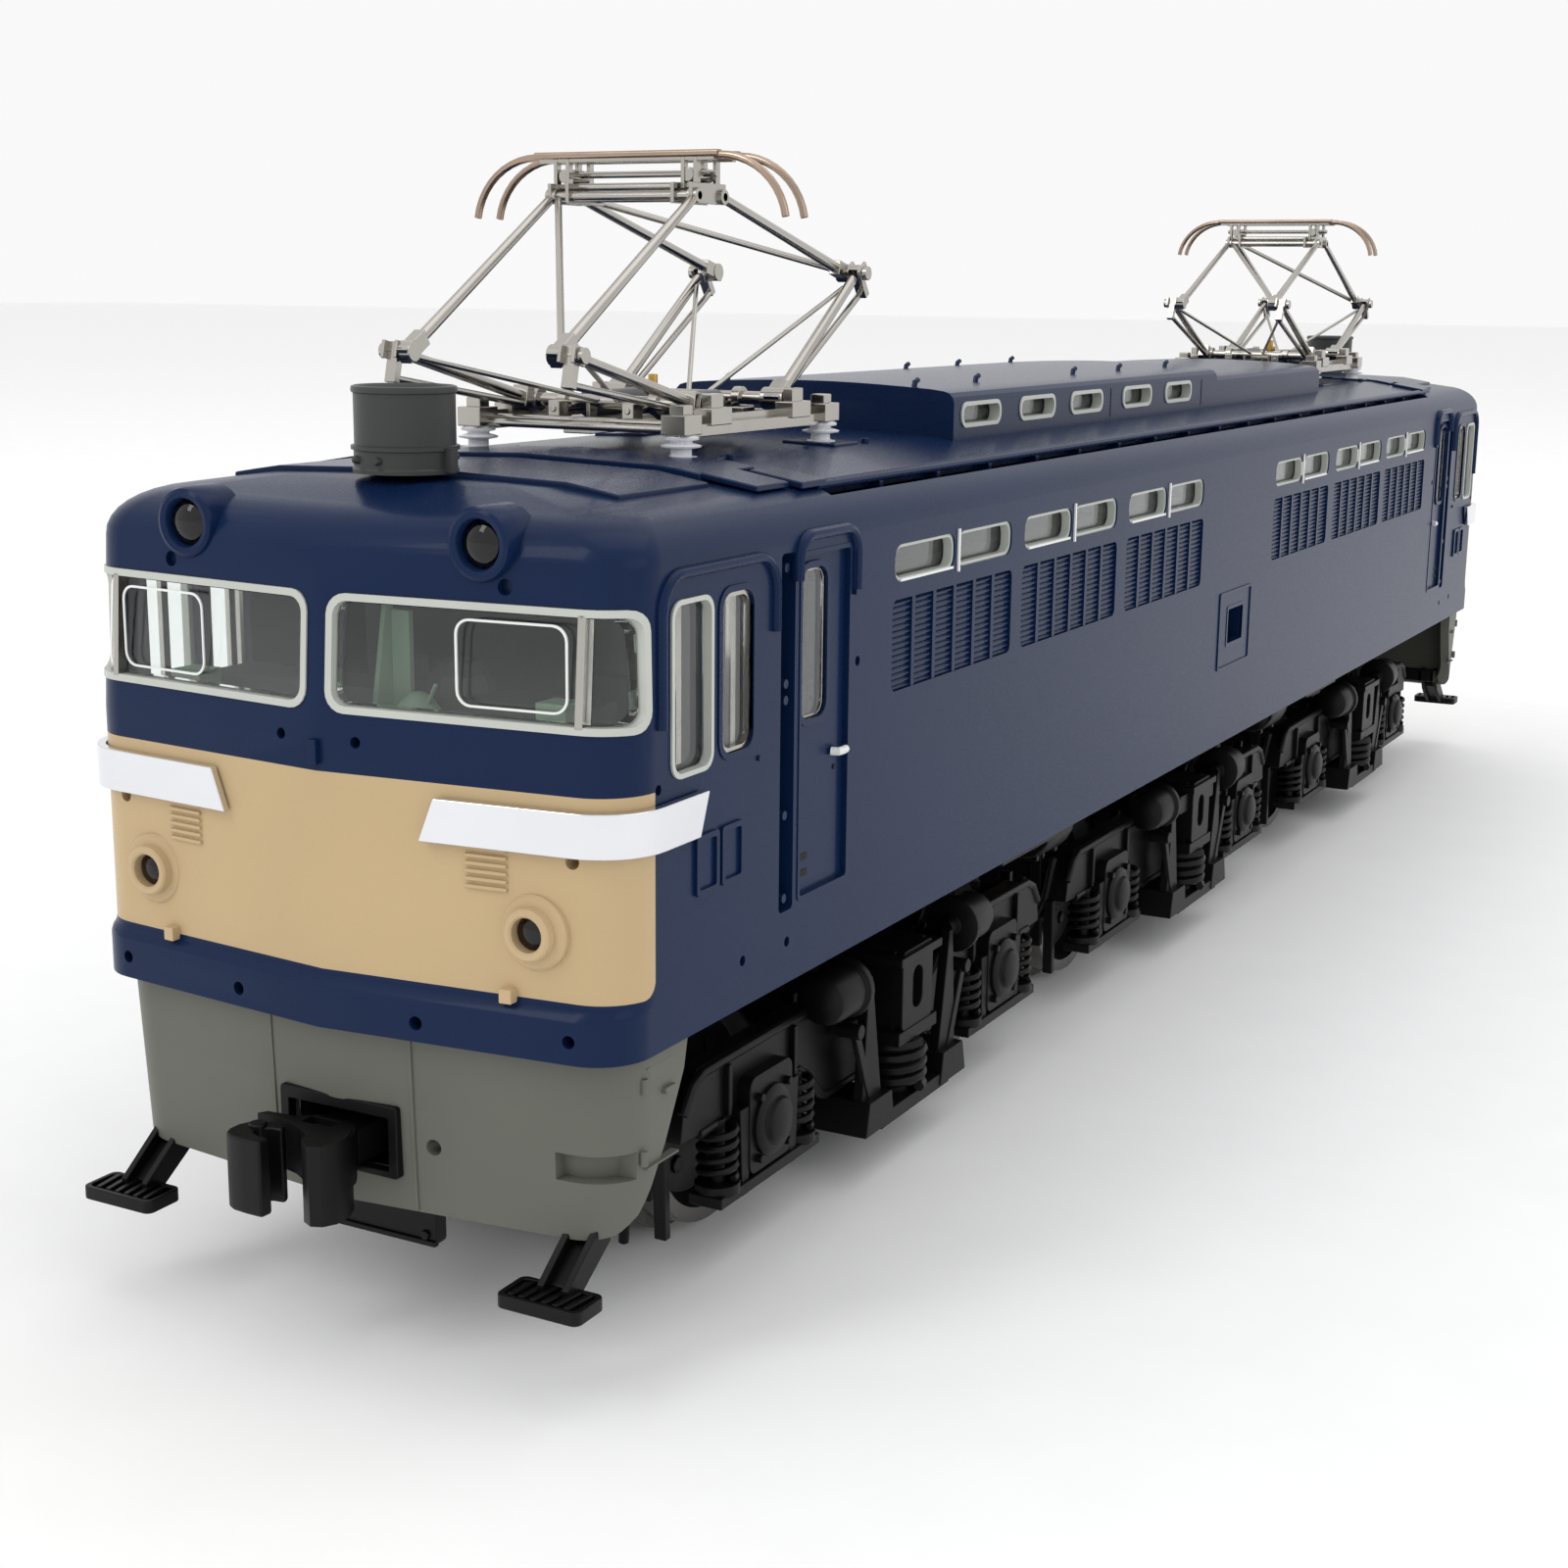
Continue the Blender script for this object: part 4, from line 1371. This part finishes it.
def tank(y0, y1, z, radius):
    profile = [(0, 0), (radius * 0.7, 0.1), (radius * 0.95, 0.5), (radius, 1.0), (radius, y1 - y0 - 1.0),
               (radius * 0.95, y1 - y0 - 0.5), (radius * 0.7, y1 - y0 - 0.1), (0, y1 - y0)]
    return revolve(profile, (11.5, y0, z), (0, 1, 0), 32)


under = [tank(-32.2, -26.4, 15.7, 2.3), box((10.4, 12.6), (-31.4, -30.9), (13.3, 18.1)),
         box((10.4, 12.6), (-27.7, -27.2), (13.3, 18.1)),
         box((12.2, 15.2), (-44.5, -33.5), (16.2, 18.1)), box((12.4, 15.0), (-84.5, -73.5), (16.4, 18.1)),
         box((12.6, 14.8), (-25.5, -12.0), (16.4, 18.1)),
         bar((15.3, -86, 17.6), (15.3, -28, 17.6), 0.28, 10)]
piece("underframe_equipment", both_sides(both_ends(*under)), rubber_black, "black_plastic", bevel=0.1)


def carried(material, *names):
    for name in names:
        o = frame["nodes"][name]
        o.data.materials.clear()
        o.data.materials.append(material)


carried(black, "chassis_frame")
carried(board_green, "light_board")
carried(spring_grey, "motor_housing")
carried(brass, "motor_shaft")
carried(cab_dark, "cab_interior_front", "cab_interior_rear")
dome = revolve([(0, 0), (1.35, 0), (1.35, 0.25), (1.2, 0.9), (0.85, 1.5), (0.4, 1.85), (0, 1.95)],
               (3.4, -95.0, 33.4), (0, 0, 1), 24)
wedge = [prism([(-96.3, 33.0), (-94.4, 33.0), (-94.4, 39.8), (-95.0, 39.8)], 1.2, 1.5, "x"),
         box((1.0, 2.6), (-94.6, -94.2), (33.0, 39.4))]
consoles = [box((6.0, 8.4), (-96.4, -94.6), (33.2, 34.4)), box((11.2, 13.0), (-95.8, -94.0), (33.2, 35.6)),
            bar((4.2, -95.2, 34.8), (5.0, -95.6, 35.9), 0.12, 8),
            box((-9.0, -5.0), (-96.2, -94.6), (33.2, 34.0)),
            box((-12.6, -10.6), (-95.8, -94.0), (33.2, 35.2))]
at_ends("cab_controls", merged(dome, *wedge, *consoles), cab_green, "cab_green", bevel=0.1)
